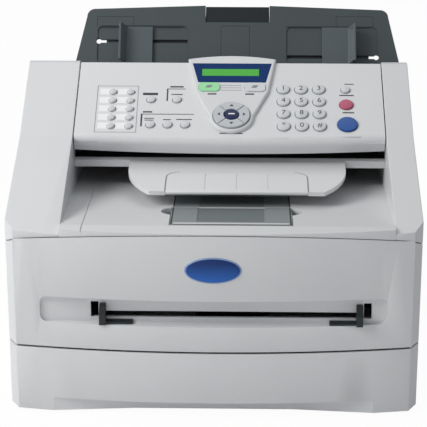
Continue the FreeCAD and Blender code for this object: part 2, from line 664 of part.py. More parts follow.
def top_cover():
    """Floor of the output well and its front rim, with the bed of the support flap."""
    piece = Piece("top_cover")
    profile = [
        ("front_y - 20", "rim_front_height - 20 * (rim_back_height - rim_front_height) / rim_depth"),
        ("front_y - 20", "cover_side_top"), ("floor_y", "cover_side_top"),
        ("floor_y", "floor_height - floor_plate"),
        ("floor_end_y", "floor_end_z - floor_plate"), ("floor_end_y", "floor_end_z"),
        ("floor_y", "floor_height"), ("floor_y", "rim_back_height")]
    piece.pad("YZ", [profile], "cheek_left", "cheek_right - cheek_left")
    trim_front(piece)
    trim_arch(piece, "seam", "floor_y")
    bed_front = "(flap_y - flap_gap)"
    bed_back = "(flap_y + flap_length + fit)"
    bed = [(bed_front, f"{floor_z(bed_front)} + 1"),
           (bed_front, f"{floor_z(bed_front)} - flap_plate - fit"),
           (bed_back, f"{floor_z(bed_back)} - flap_plate - fit"), (bed_back, f"{floor_z(bed_back)} + 1")]
    piece.cut("YZ", [bed], "flap_center - flap_width / 2 - flap_side_gap",
              "flap_width + 2 * flap_side_gap")
    pin_y, pin_z = flap_axis()
    piece.cut("YZ", [(pin_y, pin_z, "flap_pin_radius + running_fit")],
              "flap_center - flap_width / 2 - flap_side_gap - flap_pin_length",
              "flap_width + 2 * (flap_side_gap + flap_pin_length)")
    notch_y = "(flap_y + flap_length - notch_length - 2)"
    notch_radius = "(notch_length ^ 2 + notch_width ^ 2) / (2 * notch_width)"
    for side, turn in (("-1", -1), ("1", 1)):
        edge = f"flap_center + {side} * (flap_width / 2 + flap_side_gap)"
        tip = f"flap_center + {side} * (flap_width / 2 + flap_side_gap + notch_width)"
        notch = [(edge, f"{notch_y} - notch_length", notch_radius, turn),
                 (tip, notch_y, notch_radius, turn),
                 (edge, f"{notch_y} + notch_length")]
        piece.cut("XY", [notch], "floor_end_z", "floor_height + 5 - floor_end_z")
    groove = [("front_y - 20", "rim_back_height + 1"), ("front_y - 20", "rim_front_height - seam - 2"),
              ("floor_y", "floor_height - seam"), ("lip_y", f"{floor_z('lip_y')} - seam"),
              ("lip_y", "rim_back_height + 1")]
    piece.cut("YZ", [groove], "floor_seam_x - seam / 2", "seam")
    return piece.done()


def flap_axis():
    """World Y and Z of the support flap's hinge."""
    return ("flap_y - flap_pin_drop * sin(floor_slope * 1deg)",
            f"{floor_z('flap_y')} - flap_pin_drop * cos(floor_slope * 1deg)")


def support_flap():
    """Flap in the well floor, hinged at its front edge."""
    piece = Piece("support_flap", "flap")
    low_x = "(flap_center - flap_width / 2)"
    side = [("0", "0", "flap_pin_drop", 1), ("-flap_pin_drop", "-flap_pin_drop"),
            ("0", "-flap_plate"), ("flap_length", "-flap_plate"), ("flap_length", "0")]
    piece.pad("YZ", [side], low_x, "flap_width")
    piece.cut("XY", [block("flap_center - flap_panel_width / 2", "flap_center + flap_panel_width / 2",
                           "flap_length / 6", "flap_length + 1")], "-flap_panel_sink",
                           "flap_panel_sink + 1")
    piece.pad("YZ", [("0", "-flap_pin_drop", "flap_pin_radius")], f"{low_x} - flap_pin_length",
              "flap_width + 2 * flap_pin_length")
    return piece.done()


def frame_plate(label, low_x):
    """Engine side plate with the roller bearings."""
    piece = Piece(label)
    front = "(base_front_y + 14)"
    outline = [(front, f"{floor_z(front)} - floor_plate"), (front, "deck_top"),
               ("fuser_y + 34", "deck_top"),
               ("fuser_y + 34", "floor_end_z - floor_plate"),
               ("floor_end_y", "floor_end_z - floor_plate")]
    piece.pad("YZ", [outline], low_x, "frame_plate")
    bearings = (("pickup_y", "pickup_z"), ("drum_y", "drum_z"), ("fuser_y", "heat_z"),
                ("fuser_y", "pressure_z"))
    for y, z in bearings:
        piece.cut("YZ", [(y, z, "shaft_radius + running_fit")], low_x, "frame_plate")
    return piece.done()


def rear_cover():
    """Rear wall and sloping rear deck, with the door opening and its hinge lugs."""
    piece = Piece("rear_cover")
    profile = [("rear_y", "foot_height"), ("rear_y", "deck_back_height"), ("deck_y", deck_z("deck_y")),
               ("deck_y", f"{deck_z('deck_y')} - wall"), ("rear_y - wall", "deck_back_height - wall"),
               ("rear_y - wall", "foot_height")]
    piece.pad("YZ", [profile], "cheek_left", "cheek_right - cheek_left")
    piece.cut("XZ", [block("path_x - door_width / 2", "path_x + door_width / 2", "door_low",
                           "door_low + door_height")], "rear_y - 2 * wall", "3 * wall")
    for low_x in ("path_x - door_width / 2 - door_lug", "path_x + door_width / 2"):
        piece.pad("YZ", [block("rear_y - 2 * door_barrel - 2", "rear_y - wall", "door_low - 2",
                               "door_low + 4 * door_barrel")], low_x, "door_lug")
        piece.cut("YZ", [("rear_y - door_barrel", "door_axis_z", "door_pin_radius + running_fit")], low_x,
                  "door_lug")
    return piece.done()


def deck_z(y):
    return f"(deck_back_height + (rear_y - {y}) * deck_fall)"


def back_door():
    """Door over the straight paper exit, hinged along its bottom."""
    piece = Piece("back_door")
    low_x = "(path_x - door_width / 2 + fit)"
    width = "(door_width - 2 * fit)"
    profile = [("rear_y", "door_low + door_height - fit"),
               ("rear_y - wall", "door_low + door_height - fit"),
               ("rear_y - wall", "door_axis_z + door_barrel"),
               ("rear_y - 2 * door_barrel", "door_axis_z", "door_barrel", 1),
               ("rear_y - door_barrel", "door_axis_z - door_barrel", "door_barrel", 1),
               ("rear_y", "door_axis_z")]
    piece.pad("YZ", [profile], low_x, width)
    piece.pad("YZ", [("rear_y - door_barrel", "door_axis_z", "door_pin_radius")],
              f"{low_x} - door_pin_length",
              f"{width} + 2 * door_pin_length")
    return piece.done()


def scanner_base():
    """Lower half of the document scanner: chute, front bar and the seat of the document tray."""
    piece = Piece("scanner_base")
    seat_low = lean_point("-tray_sink", "tray_plate")
    seat_high = lean_point("tray_neck", "tray_plate")
    chute_end = f"chute_z + ({seat_low[0]} - chute_y) * slope_sin / slope_cos"
    bar_y = "chute_y + bar_height * sin(output_slope * 1deg)"
    bar_z = "chute_z - bar_height * cos(output_slope * 1deg)"
    profile = [("chute_y", "chute_z"), (bar_y, bar_z), ("scanner_end_y", bar_z),
               ("scanner_end_y", seat_high[1]),
               seat_high, seat_low, (seat_low[0], chute_end)]
    piece.pad("YZ", [profile], "cheek_left", "cheek_right - cheek_left")
    rest = [slope_point("10", "panel_depth + fit"), slope_point("10", "chute_drop + 1"),
            slope_point("86", "chute_drop + 1"), slope_point("86", "panel_depth + fit")]
    for low_x in ("cheek_left", "cheek_right - seam - 2 * wall"):
        piece.pad("YZ", [rest], low_x, "seam + 2 * wall")
    well = [slope_point("sensor_u - sensor_width / 2", "chute_drop - 1"),
            slope_point("sensor_u - sensor_width / 2", "chute_drop + sensor_depth"),
            slope_point("sensor_u + sensor_width / 2", "chute_drop + sensor_depth"),
            slope_point("sensor_u + sensor_width / 2", "chute_drop - 1")]
    piece.cut("YZ", [well], "path_x - sensor_length / 2", "sensor_length")
    axis_y, axis_z = slope_point("feed_roller_u", "chute_drop + feed_roller_radius - feed_roller_proud")
    low_x = "path_x - feed_roller_length / 2 - 1"
    piece.cut("YZ", [(axis_y, axis_z, "feed_roller_radius + 1")], low_x, "feed_roller_length + 2")
    piece.cut("YZ", [(axis_y, axis_z, "shaft_radius + running_fit")],
              "path_x - feed_shaft_length / 2 - fit",
              "feed_shaft_length + 2 * fit")
    return piece.done()


def image_sensor():
    """Contact sensor bar, sunk in the chute."""
    piece = Piece("image_sensor", "panel")
    outline = block("path_x - sensor_length / 2", "path_x + sensor_length / 2",
                    "sensor_u - sensor_width / 2", "sensor_u + sensor_width / 2")
    piece.pad("XY", [outline], "-chute_drop - sensor_depth", "sensor_depth")
    piece.cut("XY", [block("path_x - sensor_length / 2 + 3", "path_x + sensor_length / 2 - 3",
                           "sensor_u - sensor_width / 4", "sensor_u + sensor_width / 4")],
                           "-chute_drop - 0.6", "0.6")
    return piece.done()


def rod(low_x, length, y, z, radius):
    """A cylinder along X."""
    item = doc.addObject("Part::Cylinder", "Rod")
    item.setExpression("Radius", bound(radius))
    item.setExpression("Height", bound(length))
    item.Placement = FreeCAD.Placement(FreeCAD.Vector(), FreeCAD.Rotation(FreeCAD.Vector(0, 1, 0), 90))
    for axis, value in zip("xyz", (low_x, y, z)):
        item.setExpression(f"Placement.Base.{axis}", bound(value))
    return item


def joined(label, items):
    """Several solids made one."""
    item = doc.addObject("Part::MultiFuse", "Joined")
    item.Shapes = items
    return finish(label, item)


def grouped(label, items):
    """Several separate solids under one name."""
    item = doc.addObject("Part::Compound", "Group")
    item.Links = items
    return finish(label, item)


def rollers():
    """Engine rollers on shafts through both frames, and the document feed roller."""
    shaft_low = "engine_left - 2 * frame_plate - 1"
    shaft_length = "engine_width + 4 * frame_plate + 2"
    places_of = (("pickup_roller", "pickup_y", "pickup_z", "pickup_radius", "pickup_length"),
                 ("photo_drum", "drum_y", "drum_z", "drum_radius", "roller_length"),
                 ("heat_roller", "fuser_y", "heat_z", "fuser_radius", "roller_length"),
                 ("pressure_roller", "fuser_y", "pressure_z", "fuser_radius", "roller_length"))
    for label, y, z, radius, length in places_of:
        joined(label, [rod(shaft_low, shaft_length, y, z, "shaft_radius"),
                       rod(f"path_x - {length} / 2", length, y, z, radius)])
    axis_y, axis_z = slope_point("feed_roller_u", "chute_drop + feed_roller_radius - feed_roller_proud")
    joined("document_feed_roller", [
        rod("path_x - feed_shaft_length / 2", "feed_shaft_length", axis_y, axis_z, "shaft_radius"),
        rod("path_x - feed_roller_length / 2", "feed_roller_length", axis_y, axis_z,
            "feed_roller_radius")])


def engine_units():
    """Laser unit, toner cartridge, drum unit and fuser cover between the frames."""
    laser = Piece("laser_unit")
    laser.pad("YZ", [block("base_front_y + 20", "drum_y - 10", "laser_low", "laser_low + laser_rise")],
              "engine_left", "engine_width")
    laser.cut("YZ", [block("drum_y - 24", "drum_y", "laser_low - 1", "laser_low + 5")],
              "engine_left + 20",
              "engine_width - 40")
    laser.done()
    toner = Piece("toner_cartridge")
    front = "(base_front_y + 16)"
    toner.pad("YZ", [[(f"{front} + 14", "toner_low"), ("drum_y - 42", "toner_low"),
                      ("drum_y - 42", "toner_low + toner_rise"),
                      (f"{front} + 14", "toner_low + toner_rise", "14", 1),
                      (front, "toner_low + toner_rise - 14"),
                      (front, "toner_low + 14", "14", 1)]], "engine_left", "engine_width")
    toner.done()
    drum = Piece("drum_unit")
    drum.pad("YZ", [block("drum_y - 40", "drum_y + 34", "drum_z - drum_radius / 2",
                          "toner_low + toner_rise")],
             "engine_left", "engine_width")
    drum.cut("YZ", [("drum_y", "drum_z", "drum_radius + 1")], "engine_left", "engine_width")
    drum.done()
    fuser = Piece("fuser_cover")
    fuser.pad("YZ", [block("fuser_y - 20", "fuser_y + 20", "pressure_z - 6", "heat_z + 18")],
              "engine_left", "engine_width")
    for z in ("heat_z", "pressure_z"):
        fuser.cut("YZ", [("fuser_y", z, "fuser_radius + 1.5")], "engine_left", "engine_width")
    fuser.cut("YZ", [block("fuser_y - 21", "fuser_y + 21", "heat_z - fuser_radius - 3",
                           "heat_z - fuser_radius + 3")],
              "engine_left + 10", "engine_width - 20")
    fuser.done()


def box(low, size):
    """A plain block."""
    item = doc.addObject("Part::Box", "Block")
    for name, value in zip(("Length", "Width", "Height"), size):
        item.setExpression(name, bound(value))
    for axis, value in zip("xyz", low):
        item.setExpression(f"Placement.Base.{axis}", bound(value))
    return item


def circuit_boards():
    """Main board and power board, standing on the base frame inside the left cheek."""
    def board(x, y, length, height, parts):
        plate = box((x, y, "deck_top"), ("board_plate", length, height))
        chips = [box((f"{x} + board_plate", f"{y} + {offset}", f"deck_top + {rise}"), (depth, wide, tall))
                 for offset, rise, depth, wide, tall in parts]
        fused = doc.addObject("Part::MultiFuse", "Board")
        fused.Shapes = [plate] + chips
        return fused
    main = board("-half_width + main_board_inset", "-40", "150", "74",
                 (("20", "20", "3", "24", "24"), ("70", "30", "2", "18", "18"),
                  ("110", "12", "8", "20", "10")))
    power = board("-half_width + power_board_inset", "-60", "120", "60",
                  (("14", "8", "14", "30", "34"), ("60", "10", "12", "20", "24"),
                   ("90", "8", "8", "16", "16")))
    grouped("circuit_boards", [main, power])


SOCKETS = (("jack_inset", "jack_low", "jack_width", "jack_height"),
           ("jack_inset", "jack_low + jack_pitch", "jack_width", "jack_height"),
           ("inlet_inset", "inlet_low", "inlet_width", "inlet_height"))


def rear_sockets():
    """Two line jacks and the mains inlet in the rear wall of the left cheek."""
    sockets = []
    for inset, low_z, width, height in SOCKETS:
        low_x = f"-half_width + {inset} - {width} / 2"
        shell = box((low_x, "rear_y - socket_depth", low_z), (width, "socket_depth", height))
        room = box((f"{low_x} + wall", "rear_y - socket_depth + wall", f"{low_z} + wall"),
                   (f"{width} - 2 * wall", "socket_depth", f"{height} - 2 * wall"))
        socket = doc.addObject("Part::Cut", "Socket")
        socket.Base = shell
        socket.Tool = room
        sockets.append(socket)
    grouped("rear_sockets", sockets)


def rubber_feet():
    """Four feet under the base frame's rails."""
    feet = []
    for x in ("-half_width + foot_inset", "half_width - foot_inset"):
        for y in ("base_front_y + foot_inset", "rear_y - foot_inset"):
            foot = doc.addObject("Part::Cylinder", "Foot")
            foot.setExpression("Radius", bound("foot_radius"))
            foot.setExpression("Height", bound("foot_height"))
            foot.setExpression("Placement.Base.x", bound(x))
            foot.setExpression("Placement.Base.y", bound(y))
            feet.append(foot)
    grouped("rubber_feet", feet)


def front_shell(piece, low, rise):
    """The bowed front wall with its short side returns."""
    outer = front_band("0", "return_y")
    inner = reversed_loop(front_band("front_wall", "return_y"))
    piece.pad("XY", [outer + inner], low, rise)


def front_cover():
    """Front door of the engine with the manual-feed recess, hinged near its bottom edge."""
    piece = Piece("front_cover")
    front_shell(piece, "cover_bottom", "cover_rise + cover_crown")
    behind = block("-feed_left - front_wall", "feed_right + front_wall", "feed_low - front_wall",
                   "feed_high + front_wall")
    piece.pad("XZ", [behind], "front_y", "feed_wall_y + front_wall - front_y")
    trim_front(piece)
    top = [("half_width + 1", "cover_side_top + cover_crown + 1"),
           ("-half_width - 1", "cover_side_top + cover_crown + 1"),
           ("-half_width - 1", "cover_side_top"), ("-half_width", "cover_side_top", "arch_radius", -1),
           ("half_width", "cover_side_top"), ("half_width + 1", "cover_side_top")]
    piece.cut("XZ", [top], "front_y - 1", "return_y + 2 - front_y")
    fall = [("shoulder_y", "cover_side_top"), ("side_front_y", "cover_side_top - corner_fall"),
            ("side_front_y", "cover_side_top + cover_crown + 1"),
            ("shoulder_y", "cover_side_top + cover_crown + 1")]
    piece.cut("YZ", [fall], "-half_width - 1", "body_width + 2")
    piece.cut("XZ", [rounded("-feed_left", "feed_right", "feed_low", "feed_high", "feed_round")],
              "front_y - 1", "feed_wall_y + 1 - front_y")
    slot = block("path_x - feed_reach - feed_fin - fit", "path_x + feed_reach + feed_fin + fit",
                 "feed_slot_low", "feed_slot_low + feed_slot")
    piece.cut("XZ", [slot], "feed_wall_y - 1", "front_wall + 2")
    for side in ("-1", "1"):
        near = f"path_x + {side} * (feed_reach + feed_fin + 1)"
        far = f"path_x + {side} * (feed_reach + feed_fin + 8)"
        window = block(*((far, near) if side == "-1" else (near, far)), "feed_slot_low",
                       "feed_slot_low + 15")
        piece.cut("XZ", [window], "feed_wall_y - 1", "front_wall + 2")
        ear_x = f"{side} * (cover_pin_spread / 2 - lug_plate / 2 - fit - ear_plate / 2) - ear_plate / 2"
        ear = [("front_y", "cover_hinge_z - lug_radius"),
               ("cover_hinge_y + lug_radius", "cover_hinge_z - lug_radius"),
               ("cover_hinge_y + lug_radius", "cover_hinge_z + lug_radius"),
               ("front_y", "cover_hinge_z + lug_radius")]
        piece.pad("YZ", [ear], ear_x, "ear_plate")
        piece.pad("YZ", [("cover_hinge_y", "cover_hinge_z", "cover_pin_radius")],
                  f"{side} * cover_pin_spread / 2 - lug_plate / 2 - fit", "lug_plate + 2 * fit")
    corner = [("return_y + 1", "cover_hinge_z - 2"), ("return_y", "cover_hinge_z - 2"),
              ("return_y - 2.5", "cover_bottom"), ("return_y - 2.5", "cover_bottom - 1"),
              ("return_y + 1", "cover_bottom - 1")]
    piece.cut("YZ", [corner], "-half_width - 1", "body_width + 2")
    trim_front(piece)
    piece.pad("XZ", [("path_x", "feed_pinion_z", "gear_pin_radius")], "feed_wall_y + front_wall",
              "rack_behind + gear_face + 1")
    return piece.done()


def tooth_outline(x, pitch_line, side):
    """One straight-flanked tooth that points against side, its root sunk a little into the bar."""
    root = f"{pitch_line} + {side} * (rack_dedendum + tooth_sink)"
    tip = f"{pitch_line} - {side} * rack_addendum"
    return [(f"{x} - tooth_root", root), (f"{x} - tooth_tip", tip), (f"{x} + tooth_tip", tip),
            (f"{x} + tooth_root", root)]


def add_rack(piece, plane, low, origin, line, end, side, travel):
    """Rack bar from past the pinion to the guide, with a row of teeth on its inner edge.

    The pitch line is at line, the bar lies on its far side, and tooth gaps stand at whole
    pitches from the pinion's middle, origin.
    """
    to_left = number(f"{end} - ({origin})") < 0
    far = f"({origin} {'+' if to_left else '-'} rack_spare * gear_pitch)"
    near_edge = f"{line} + {side} * rack_dedendum"
    back_edge = f"{line} + {side} * (rack_dedendum + rack_height)"
    span = (end, far) if to_left else (far, end)
    heights = (near_edge, back_edge) if side == "1" else (back_edge, near_edge)
    piece.pad(plane, [block(*span, *heights)], low, "gear_face")
    first = f"{far} {'-' if to_left else '+'} 0.5 * gear_pitch"
    tooth = piece.pad(plane, [tooth_outline(first, line, side)], low, "gear_face")
    row = piece.body.newObject("PartDesign::LinearPattern", "TeethRow")
    row.Originals = [tooth]
    row.Direction = (tooth.Profile[0], ["H_Axis"])
    row.Reversed = to_left
    count = f"2 * rack_spare + floor({travel} / gear_pitch)"
    row.setExpression("Occurrences", bound(count))
    row.setExpression("Length", bound(f"({count} - 1) * gear_pitch"))
    piece.body.Tip = row


def pinion(label, plane, frame, x, y, low):
    """Spur pinion of a guide pair."""
    piece = Piece(label, frame)
    hub = piece.sketch(plane, low, "gear_face", (x, y))
    draw(hub, ("0", "0", "gear_radius - rack_dedendum"))
    disc = piece.body.newObject("PartDesign::Pad", "Hub")
    disc.Profile = hub
    disc.setExpression("Length", bound("gear_face"))
    flank = piece.sketch(plane, low, "gear_face", (x, y))
    draw(flank, tooth_outline("0", "gear_radius", "-1"))
    tooth = piece.body.newObject("PartDesign::Pad", "Tooth")
    tooth.Profile = flank
    tooth.setExpression("Length", bound("gear_face"))
    ring = piece.body.newObject("PartDesign::PolarPattern", "TeethRing")
    ring.Originals = [tooth]
    ring.Axis = (hub, ["N_Axis"])
    ring.Angle = 360
    ring.setExpression("Occurrences", bound("gear_teeth"))
    piece.body.Tip = ring
    piece.cut(plane, [(x, y, "gear_pin_radius + running_fit")], low, "gear_face")
    return piece.done()


def feed_guide(label, side, rack_side):
    """Manual-feed guide: fin and shelf in the recess, arm through the slot, rack behind the wall."""
    piece = Piece(label)
    inner = f"(path_x + {side} * feed_reach)"
    outer = f"(path_x + {side} * (feed_reach + feed_fin))"
    shelf = f"(path_x + {side} * (feed_reach - feed_shelf))"
    ends = (outer, inner) if side == "-1" else (inner, outer)
    fin = [("feed_wall_y - fit", "feed_slot_low + fit"), ("feed_wall_y - fit", "feed_slot_low + 14"),
           ("feed_wall_y - 4", "feed_slot_low + 14"), ("front_y + 3", "feed_slot_low + 6"),
           ("front_y + 3", "feed_low + fit"), ("feed_wall_y - fit", "feed_low + fit")]
    piece.pad("YZ", [fin], ends[0], "feed_fin")
    span = (outer, shelf) if side == "-1" else (shelf, outer)
    piece.pad("XY", [block(*span, "feed_wall_y - 8", "feed_wall_y - fit")], "feed_low + fit", "2")
    piece.pad("XZ", [block(*ends, "feed_slot_low + fit", "feed_slot_low + feed_slot - fit")],
              "feed_wall_y - 2",
              "front_wall + rack_behind + gear_face + 2")
    root = f"feed_pinion_z + {rack_side} * (gear_radius + rack_dedendum)"
    top = f"{root} + rack_height" if rack_side == "1" else root
    piece.pad("XZ", [block(*ends, "feed_slot_low + fit", top)], "feed_wall_y + front_wall + rack_behind",
              "gear_face")
    add_rack(piece, "XZ", "feed_wall_y + front_wall + rack_behind", "path_x",
             f"feed_pinion_z + {rack_side} * gear_radius", inner, rack_side, "feed_travel")
    return piece.done()


def paper_cassette():
    """Paper cassette: bowed front with its finger scoop, and the paper bin."""
    piece = Piece("paper_cassette")
    front_shell(piece, "foot_height", "cassette_rise")
    inner = "(front_radius - front_wall)"
    bevel = [(f"{inner} - 1", "cassette_top + 1"), (f"{inner} - 1", "cassette_top - swing_bevel"),
             (inner, "cassette_top - swing_bevel"), (f"{inner} + swing_bevel", "cassette_top"),
             (f"{inner} + swing_bevel", "cassette_top + 1")]
    piece.turn("0", "front_y + front_radius", bevel, "Groove")
    left = "(tunnel_left + seam)"
    right = "(tunnel_right - seam)"
    low_y = "bin_front_y"
    piece.pad("XY", [block(left, right, low_y, f"{low_y} + cassette_length")], "foot_height + 1",
              "cassette_side")
    piece.cut("XY", [block(f"{left} + cassette_wall", f"{right} - cassette_wall",
                           f"{low_y} + cassette_wall",
                           f"{low_y} + cassette_length - cassette_wall")],
                           "foot_height + 1 + cassette_wall", "cassette_side")
    for low_x in (left, f"{right} - cassette_wall"):
        piece.pad("YZ", [block("front_y", f"{low_y} + 4", "foot_height + scoop_height + 6",
                               "foot_height + cassette_side")],
                  low_x, "cassette_wall")
    lining = [("-scoop_half", "front_y"), ("scoop_half", "front_y"),
              ("scoop_half", f"{scoop_front()} + front_wall"),
              ("scoop_flat", "front_y + scoop_depth + front_wall"),
              ("-scoop_flat", "front_y + scoop_depth + front_wall"),
              ("-scoop_half", f"{scoop_front()} + front_wall")]
    piece.pad("XY", [lining], "foot_height", "scoop_height + front_wall")
    scoop = [("-scoop_half", "front_y - 1"), ("scoop_half", "front_y - 1"), ("scoop_half", scoop_front()),
             ("scoop_flat", "front_y + scoop_depth"), ("-scoop_flat", "front_y + scoop_depth"),
             ("-scoop_half", scoop_front())]
    piece.cut("XY", [scoop], "foot_height - 1", "scoop_height + 1")
    trim_front(piece)
    pin_y, pin_z = plate_axis()
    for low_x in (left, f"{right} - cassette_wall"):
        piece.cut("YZ", [(pin_y, pin_z, "plate_pin_radius + running_fit")], low_x, "cassette_wall")
    return piece.done()


def scoop_front():
    """Front line of the bow where the scoop runs out."""
    return "front_y + front_radius - sqrt(front_radius ^ 2 - scoop_half ^ 2)"


def plate_axis():
    return "plate_y", "foot_height + 1 + cassette_wall + plate_pin_radius + 1"


def pressure_plate():
    """Sheet that lifts the paper, hinged at its rear in the cassette's side walls."""
    piece = Piece("pressure_plate")
    pin_y, pin_z = plate_axis()
    low_x = "path_x - plate_width / 2"
    piece.pad("YZ", [block("plate_y - plate_length", "plate_y", f"{pin_z} - plate_sheet / 2",
                           f"{pin_z} + plate_sheet / 2")],
              low_x, "plate_width")
    piece.pad("YZ", [(pin_y, pin_z, "plate_pin_radius")], "tunnel_left + seam", "tunnel_width - 2 * seam")
    return piece.done()


def document_output_tray():
    """Tray under the panel's lip that catches the scanned pages, tapered to its front."""
    piece = Piece("document_output_tray", "output")
    left = "(output_center - output_width / 2)"
    right = "(output_center + output_width / 2)"
    gap_left = "(output_center - extension_width / 2)"
    gap_right = "(output_center + extension_width / 2)"
    gap_back = "(-output_length + extension_length)"
    turn_y = "-output_length + taper_run"
    round_y = f"{gap_back} - extension_round"
    outline = [(left, "0"), (left, turn_y, "output_round", 1),
               (f"{left} + taper_inset", "-output_length"), (gap_left, "-output_length"),
               (gap_left, round_y, "extension_round", -1), (f"{gap_left} + extension_round", gap_back),
               (f"{gap_right} - extension_round", gap_back, "extension_round", -1), (gap_right, round_y),
               (gap_right, "-output_length"), (f"{right} - taper_inset", "-output_length", "output_round",
                                               1),
               (right, turn_y), (right, "0")]
    piece.pad("XY", [outline], "-output_plate", "output_plate")
    axis = "-output_length + output_plate / 2"
    piece.cut("YZ", [(axis, "-output_plate / 2", "extension_pin_radius + running_fit")],
              f"{gap_left} - extension_pin_length", "extension_width + 2 * extension_pin_length")
    return piece.done()


def output_extension():
    """Fold-out leaf in the document output tray, hinged at its front edge."""
    piece = Piece("output_extension", "output")
    left = "(output_center - extension_width / 2 + fit)"
    right = "(output_center + extension_width / 2 - fit)"
    back = "(-output_length + extension_length - fit)"
    axis = "(-output_length + output_plate / 2)"
    outline = [(left, axis), (right, axis), (right, f"{back} - extension_round", "extension_round", 1),
               (f"{right} - extension_round", back),
               (f"{left} + extension_round", back, "extension_round", 1),
               (left, f"{back} - extension_round")]
    piece.pad("XY", [outline], "-output_plate", "output_plate")
    edge = [(axis, "0", "output_plate / 2", 1),
            ("-output_length", "-output_plate / 2", "output_plate / 2", 1),
            (axis, "-output_plate")]
    piece.pad("YZ", [edge], left, "extension_width - 2 * fit")
    piece.pad("YZ", [(axis, "-output_plate / 2", "extension_pin_radius")],
              f"{left} - fit - extension_pin_length",
              "extension_width + 2 * extension_pin_length")
    for offset in ("-extension_width / 4.5", "0", "extension_width / 4.5"):
        piece.cut("XY", [block(f"output_center + {offset} - 0.6", f"output_center + {offset} + 0.6",
                               f"{axis} + 4", f"{back} - 4")],
                  "-0.6", "0.6")
    return piece.done()


def tray_slot(piece, side):
    """Guide slot of the document tray, its ends rounded by the keyhole at the outer end."""
    near = f"tray_center + {side} * slot_near"
    far = f"tray_center + {side} * slot_far"
    height = f"(pinion_height - {side} * guide_gap / 2)"
    span = (far, near) if side == "-1" else (near, far)
    piece.cut("XY", [block(*span, f"{height} - guide_slot / 2", f"{height} + guide_slot / 2")],
              "-tray_plate", "tray_plate")
    piece.cut("XY", [(far, height, "guide_slot * 0.8")], "-tray_plate", "tray_plate")


def document_tray():
    """Leaning document tray with its shallow pockets, guide slots, pinion pin and support rails."""
    piece = Piece("document_tray", "tray")
    low_right = "tray_center + tray_width / 2"
    low_left = "tray_center - tray_width / 2"
    top_right = "tray_center + tray_top_width / 2"
    top_left = "tray_center - tray_top_width / 2"
    notch_right = "tray_center + support_notch_width / 2"
    notch_left = "tray_center - support_notch_width / 2"
    notch_low = "tray_height - support_notch_depth"
    crown = "tray_height + tray_crown"
    outline = [("panel_left", "-tray_sink"), ("panel_right", "-tray_sink"), ("panel_right", "tray_neck"),
               (low_right, "tray_neck"), (top_right, "tray_height - tray_corner", "tray_corner", 1),
               (f"{top_right} - tray_corner", "tray_height"), (notch_right, crown),
               (notch_right, notch_low),
               (notch_left, notch_low), (notch_left, crown),
               (f"{top_left} + tray_corner", "tray_height", "tray_corner", 1),
               (top_left, "tray_height - tray_corner"), (low_left, "tray_neck"),
               ("panel_left", "tray_neck")]
    piece.pad("XY", [outline], "-tray_plate", "tray_plate")
    for side in ("-1", "1"):
        near = f"tray_center + {side} * pocket_near"
        far = f"tray_center + {side} * pocket_far"
        span = (far, near) if side == "-1" else (near, far)
        piece.cut("XY", [rounded(*span, "tray_neck + 2", "pocket_top", "pocket_round")], "-pocket_sink",
                  "pocket_sink")
        tray_slot(piece, side)
    piece.pad("XY", [("tray_center", "pinion_height", "gear_pin_radius")],
              "-tray_plate - rack_behind - gear_face - 0.8",
              "rack_behind + gear_face + 0.8")
    rail_low = "pinion_height + gear_radius + rack_dedendum + rack_height + 1"
    for low_x in (f"{notch_left} - rail_plate", notch_right):
        piece.pad("XY", [block(low_x, f"{low_x} + rail_plate", rail_low,
                               "tray_height - tray_corner / 2")],
                  "-tray_plate - rail_depth", "rail_depth")
    return piece.done()


def document_support():
    """Support that slides up out of the tray's notch to carry long pages."""
    piece = Piece("document_support", "tray")
    left = "tray_center - support_notch_width / 2 + fit"
    right = "tray_center + support_notch_width / 2 - fit"
    low = "tray_height - support_length"
    behind = "-tray_plate - rail_depth"
    piece.pad("XY", [block(left, right, low, "tray_height - fit")], behind, "support_plate")
    piece.pad("XY", [block(left, right, "tray_height - support_notch_depth + fit", "tray_height - fit")],
              behind, "tray_plate + rail_depth - pocket_sink")
    return piece.done()


